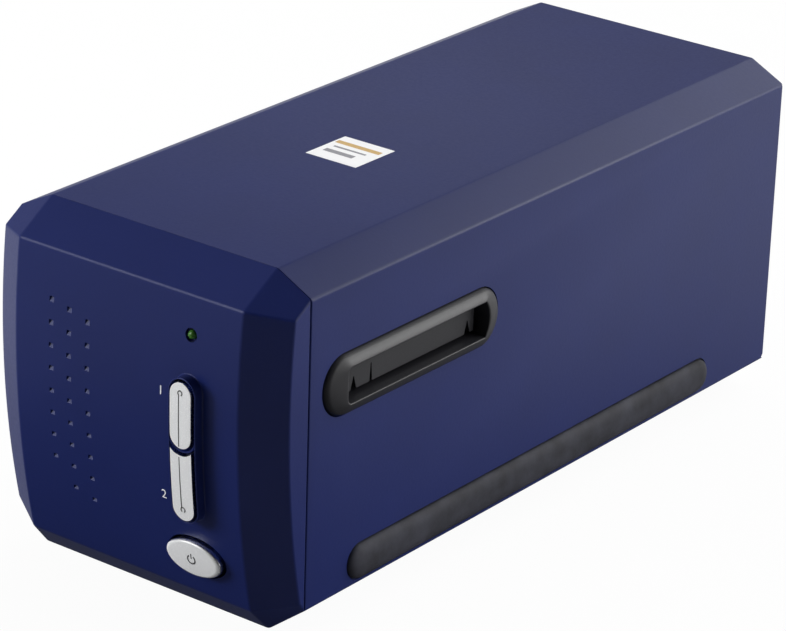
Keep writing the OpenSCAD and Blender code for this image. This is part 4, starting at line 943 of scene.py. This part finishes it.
def slot_outlines():
    """Outer stadium and inner mouth, matched point by point: top, rear end, bottom, front end."""
    cy, cz = (frame_low[1] + frame_high[1]) / 2, (frame_low[2] + frame_high[2]) / 2
    r = (frame_high[2] - frame_low[2]) / 2
    reach_y = (frame_high[1] - frame_low[1]) / 2 - r
    hy, hz, bulge, corner = 34.0, 5.85, 2.0, 1.6
    n, m = 30, 33
    line = np.linspace(-1, 1, n)[:, None]
    outer_top = np.column_stack([cy + line[:, 0] * reach_y, np.full(n, cz + r)])
    outer_rear = quarter((cy + reach_y, cz), r, r, 90, -90, m)
    outer_bottom = np.column_stack([cy - line[:, 0] * reach_y, np.full(n, cz - r)])
    outer_front = quarter((cy - reach_y, cz), r, r, 270, 90, m)
    inner_top = np.column_stack([cy - hy + corner + (line[:, 0] + 1) / 2 * (2 * hy - corner),
                                 np.full(n, cz + hz)])
    inner_bottom = np.column_stack([inner_top[::-1, 0], np.full(n, cz - hz)])
    bow_z = np.cos(np.linspace(0, math.pi, m)) * hz
    inner_rear = np.column_stack([cy + hy + bulge * (1 - (bow_z / hz) ** 2), cz + bow_z])
    low = quarter((cy - hy + corner, cz - hz + corner), corner, corner, 270, 180, 9)
    high = quarter((cy - hy + corner, cz + hz - corner), corner, corner, 180, 90, 9)
    side = np.column_stack([np.full(m - 18, cy - hy),
                            np.linspace(cz - hz + corner, cz + hz - corner, m - 16)[1:-1]])
    inner_front = np.vstack([low, side, high])
    outer = np.vstack([outer_top, outer_rear[1:-1], outer_bottom, outer_front[1:-1]])
    inner = np.vstack([inner_top, inner_rear[1:-1], inner_bottom, inner_front[1:-1]])
    return outer, inner


def slot_ring(side):
    """Section (a, h): a blends from the outer outline to the mouth, h rises from the case side,
    steeply over the first fifth, then as 1.5 t - 0.5 t^2, whose slope halves towards the lip."""
    outer, inner = slot_outlines()
    rise = frame_high[0] - HALF_W
    t = np.linspace(0, 1, 21)
    steep = 1 - (1 - np.minimum(t / 0.2, 1)) ** 2
    gentle = 1.5 * t - 0.5 * t ** 2
    shoulder = np.column_stack([0.09 + 0.82 * t, rise * (0.3 * steep + 0.7 * gentle)])
    u = np.linspace(0, math.pi / 2, 7)[1:]
    lip = np.column_stack([0.91 + 0.09 * np.sin(u), rise - 0.42 * (1 - np.cos(u))])
    depth = frame_low[0] - HALF_W
    back = [(1, -2.0), (1, depth), (0.64, depth), (0.64, -1.5)]
    section = np.vstack([[(0.09, -1.5)], shoulder, lip, back])
    a, h = section[:, 0][:, None, None], section[:, 1][:, None]
    yz = outer * (1 - a) + inner * a
    x = side * (HALF_W + np.broadcast_to(h, yz.shape[:2]))
    points = np.stack([x, yz[..., 0], yz[..., 1]], -1)
    faces = grid_faces(*points.shape[:2], loop_rows=True, loop_columns=True)
    return make_mesh("slot_ring_right" if side > 0 else "slot_ring_left", points, faces.reshape(-1, 4))


for side, name in ((1, "slot_frame_right"), (-1, "slot_frame_left")):
    ring = smooth(tidy_mesh(slot_ring(side)), 50)
    dress(ring, "black_gloss_plastic", stands_for=[name])
for name, body in (("dust_door_right", "door_right"), ("dust_door_left", "door_left")):
    softened(name, 0.12, "black_satin_plastic", body, angle=40)
print("slot ring:", triangles(ring), "triangles")

# %% [markdown]
# ## Side grips
# A rubber strip low on each side, domed across and round at its ends. Every outline is the
# stadium moved in by some distance, raised by a superellipse of that distance.

# %% Grips


def grip_pad(side):
    """Stadium of radius r (1 - s), straight part unchanged; height rise (1 - (1 - s)^2.6)^0.5."""
    cy, cz = (grip_low[1] + grip_high[1]) / 2, (grip_low[2] + grip_high[2]) / 2
    r = (grip_high[2] - grip_low[2]) / 2
    straight = (grip_high[1] - grip_low[1]) / 2 - r
    rise = grip_high[0] - HALF_W
    a = np.radians(np.concatenate([np.linspace(-90, 90, 25), np.linspace(90, 270, 25)]))
    centre = np.concatenate([np.full(25, cy + straight), np.full(25, cy - straight)])
    s = (1 - np.cos(np.linspace(0, math.pi / 2, 14))) * 0.96
    k = 1 - s[:, None]
    y = centre + r * k * np.cos(a)
    z = cz + r * k * np.sin(a)
    h = rise * np.sqrt(np.clip(1 - k ** 2.6, 0, 1)) / math.sqrt(1 - 0.04 ** 2.6)
    x = side * (HALF_W + np.broadcast_to(h, y.shape))
    points = np.stack([x, y, z], -1)
    foot = points[:1].copy()
    foot[..., 0] = side * grip_low[0]
    points = np.concatenate([foot, points])
    return make_mesh("grip_pad_right" if side > 0 else "grip_pad_left", points,
                     capped_faces(*points.shape[:2]))


for side, name in ((1, "side_grip_right"), (-1, "side_grip_left")):
    pad = smooth(tidy_mesh(grip_pad(side)), 45)
    dress(pad, "black_rubber", stands_for=[name])
print("grip:", triangles(pad), "triangles")

# %% [markdown]
# ## The label
# A square of white film on the top, printed with a plain pattern of bars.

# %% Label bars
label_top = label_high[2]


def printed_bars(name, rows, colour):
    """Rows of (x0, x1, y0, y1) as thin printed blocks on the label, 0.01 mm proud."""
    rows = np.asarray(rows, float)
    centres = np.column_stack([rows[:, :2].mean(1), rows[:, 2:].mean(1), np.full(len(rows), label_top)])
    half = np.column_stack([np.ptp(rows[:, :2], axis=1), np.ptp(rows[:, 2:], axis=1),
                            np.full(len(rows), 0.02)]) / 2
    points = (centres[:, None] + BOX_SIGNS * half[:, None]).reshape(-1, 3)
    piece = tidy_mesh(make_mesh(name, points, box_faces(len(rows))))
    piece.data.materials.append(colour)
    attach(piece, "root")
    return piece


label_y = (label_low[1] + label_high[1]) / 2
ochre = grained("ochre printing ink", "#c3a060", "#cdab6c", (0.4, 0.5), 0.5, 0.001)
grey = grained("grey printing ink", "#86868c", "#95959a", (0.4, 0.5), 0.5, 0.001)
printed_bars("label_ochre_bar", [(-9.2, 8.4, label_y + 3.6, label_y + 6.0)], ochre)
printed_bars("label_grey_bars", [(-7.2, 5.6, label_y + 0.2, label_y + 1.3),
                                 (-7.6, 4.0, label_y - 4.6, label_y - 2.2)], grey)

# %% [markdown]
# ## Other outside mouldings
# The tray, the rear panel and the feet keep the frame's shape with softened edges.

# %% Tray, rear panel and feet
softened("base_tray", 0.4, "navy_satin_plastic")
softened("rear_panel", 0.3, "navy_satin_plastic")
softened("feet", 0.5, "black_rubber", steps=3)
softened("top_label", 0.03, "label_film")
softened("usb_socket", 0.2, "nickel_plate")
softened("power_inlet", 0.2, "black_satin_plastic")

# %% [markdown]
# ## The ribbon cable
# The ribbon joins the sensor board, which travels, to the main board, which doesn't. It sags a
# little, so that it can give and take the carriage's travel, and bends between the two bodies.

# %% Ribbon cable


def ribbon_cable():
    """Path (y, z): a sag z - 3 sin^2, a quarter turn down, a drop, a quarter turn forward, and a
    lead on to the board. Across, twenty cores: thickness 0.16 + 0.14 |cos(pi x)|."""
    low, high = box_mm("flat_cable")
    bend = 6.0
    turn_y, top, bottom = high[1] - bend - 0.2, high[2] - 0.2, low[2] + 0.2
    y = np.linspace(low[1], turn_y, 25)[:-1]
    sag = 3.0 * np.sin(math.pi * (y - low[1]) / (turn_y - low[1])) ** 2
    a = np.linspace(0, math.pi / 2, 9)
    path = np.vstack([
        np.column_stack([y, top - sag]),
        np.column_stack([turn_y + bend * np.sin(a), top - bend + bend * np.cos(a)]),
        np.column_stack([turn_y + bend * np.cos(a), bottom + bend - bend * np.sin(a)]),
        np.column_stack([np.linspace(turn_y, turn_y - 6, 6)[1:], np.full(5, bottom)])])
    d = np.gradient(path, axis=0)
    normal = np.column_stack([-d[:, 1], d[:, 0]]) / np.linalg.norm(d, axis=1, keepdims=True)
    x = np.linspace(-10, 10, 161)
    half = (0.16 + 0.14 * np.abs(np.cos(math.pi * x))) / 2
    around = np.concatenate([x, x[::-1]])
    offset = np.concatenate([half, -half[::-1]])
    yz = path[:, None] + normal[:, None] * offset[None, :, None]
    points = np.concatenate([np.broadcast_to(around[None, :, None], (*yz.shape[:2], 1)), yz], -1)
    rows, n = points.shape[:2]
    faces = grid_faces(rows, n, loop_columns=True).reshape(-1, 4).tolist()
    faces += [[i, i + 1, n - 2 - i, n - 1 - i] for i in range(n // 2 - 1)]
    last = (rows - 1) * n
    faces += [[last + k for k in (i + 1, i, n - 1 - i, n - 2 - i)] for i in range(n // 2 - 1)]
    return make_mesh("ribbon_cable", points, faces)


ribbon = smooth(tidy_mesh(ribbon_cable(), join_mm=0.0005), 50)
dress(ribbon, "label_film", body=None, stands_for=["flat_cable"])
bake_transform(ribbon)
print("ribbon:", triangles(ribbon), "triangles")

# %% [markdown]
# ## Everything else
# The pieces inside keep the frame's meshes and take the material of their slot.

# %% Carried nodes
slots = {s["node"]: s["material_slot"] for s in frame["record"]["subparts"]}
for name, obj in nodes.items():
    obj.data.materials.clear()
    obj.data.materials.append(materials[slots[name]])
print("nodes dressed:", len(slots))

# %% [markdown]
# ## Studio
# A pale floor, a white backdrop for the eye, and four soft lamps. Light Path makes the floor
# nearly white to the camera, and it still keeps the scanner's soft shadow. Reflections don't see
# that white: in its place the floor and the sky give them graded light, brighter from a few
# directions, so that the satin faces and their edges read apart.

# %% Floor
material, tree, output = new_material("pale studio floor")
path = add_node(tree, "ShaderNodeLightPath").outputs
place = add_node(tree, "ShaderNodeTexCoord").outputs["Object"]
way_back = add_node(tree, "ShaderNodeNewGeometry").outputs["Incoming"]
rear = rising(tree, place, (0.64, 0.77, 0), (-0.02, 0.3), (0.02, 0.56))
left = rising(tree, way_back, (0.9, -0.45, 0), (0.6, 0.9), (0.03, 0.4))
front = rising(tree, place, (-0.9, -0.43, 0), (0.15, 0.27), (0.0, 0.28))
lit = summed(tree, rear, left, front)
seen = add_node(tree, "ShaderNodeMath", {"operation": "MAXIMUM"},
                {0: path["Is Camera Ray"], 1: path["Is Transmission Ray"]})
share = add_node(tree, "ShaderNodeMath", {"operation": "MULTIPLY"}, {0: seen.outputs[0]})
share.inputs[1].default_value = 0.92
paper = add_node(tree, "ShaderNodeBsdfDiffuse", Color=linear("#b4b4b4"))
glow = add_node(tree, "ShaderNodeEmission", Strength=1.04, Color=(1, 1, 1, 1))
mirrored = add_node(tree, "ShaderNodeEmission", links={"Strength": lit}, Color=(1, 1, 1, 1))
to_eye = add_node(tree, "ShaderNodeMixShader",
                  links={0: share.outputs[0], 1: paper.outputs[0], 2: glow.outputs[0]})
mixed = add_node(tree, "ShaderNodeMixShader",
                 links={0: path["Is Glossy Ray"], 1: to_eye.outputs[0], 2: mirrored.outputs[0]})
tree.links.new(mixed.outputs[0], output.inputs["Surface"])
FLOOR_HALF, FLOOR_Z = 4000, -0.2
floor = make_mesh("floor", [(i * FLOOR_HALF, j * FLOOR_HALF, FLOOR_Z)
                            for i, j in ((-1, -1), (1, -1), (1, 1), (-1, 1))], [[0, 1, 2, 3]])
floor.data.materials.append(material)

# %% World and lamps
world = bpy.data.worlds.new("studio")
world.use_nodes = True
scene.world = world
tree = world.node_tree
tree.nodes.clear()
path = add_node(tree, "ShaderNodeLightPath").outputs
way = add_node(tree, "ShaderNodeTexCoord").outputs["Generated"]
fill_sum = summed(tree, rising(tree, way, (-0.95, -0.31, 0.0), (0.1, 1.0), (0.0, 0.5)),
                  rising(tree, way, (0.45, 0.84, 0.28), (0.5, 0.95), (0.0, 3.9)),
                  rising(tree, way, (-0.50, 0.78, 0.38), (0.55, 0.95), (0.0, 1.2)))
fill = add_node(tree, "ShaderNodeBackground", Color=(1, 1, 1, 1), links={"Strength": fill_sum})
mirrored_sky = summed(tree, rising(tree, way, (-0.75, 0.45, 0.48), (0.78, 0.97), (0.01, 0.32)),
                      rising(tree, way, (0.55, 0.83, 0.0), (0.42, 0.66), (0.0, 1.0)),
                      rising(tree, way, (-0.56, -0.68, 0.48), (0.86, 0.98), (0.0, 3.2)))
sheen = add_node(tree, "ShaderNodeBackground", Color=(1, 1, 1, 1), links={"Strength": mirrored_sky})
white = add_node(tree, "ShaderNodeBackground", Color=(1, 1, 1, 1), Strength=1.0)
lit = add_node(tree, "ShaderNodeMixShader",
               links={0: path["Is Glossy Ray"], 1: fill.outputs[0], 2: sheen.outputs[0]})
mixed = add_node(tree, "ShaderNodeMixShader",
                 links={0: path["Is Camera Ray"], 1: lit.outputs[0], 2: white.outputs[0]})
add_node(tree, "ShaderNodeOutputWorld", links={"Surface": mixed.outputs[0]})


def soft_lamp(name, place, target, size, watts):
    """A square area lamp that faces a target."""
    data = bpy.data.lights.new(name, "AREA")
    data.energy = watts
    data.size = size
    lamp_object = bpy.data.objects.new(name, data)
    lamp_object.location = place
    lamp_object.rotation_euler = (Vector(target) - Vector(place)).to_track_quat("-Z", "Y").to_euler()
    scene.collection.objects.link(lamp_object)
    return lamp_object


soft_lamp("rear_lamp", (-2.6, 3.6, 2.0), (0, 0, 0.1), 0.8, 1.2)
soft_lamp("right_lamp", (1.35, 1.55, 0.42), (0, 0.05, 0.1), 0.8, 8)
front_lamp = soft_lamp("front_lamp", (-0.72, -0.6, 0.3), (-0.02, -0.13, 0.06), 0.3, 6.5)
# The front lamp stands low and close, so it would glare in the top when seen from behind.
front_lamp.visible_glossy = False
soft_lamp("glint_lamp", (-0.8, -1.1, 0.8), (0, -0.1, 0.1), 0.2, 0.8)
scene.view_settings.view_transform = "Standard"
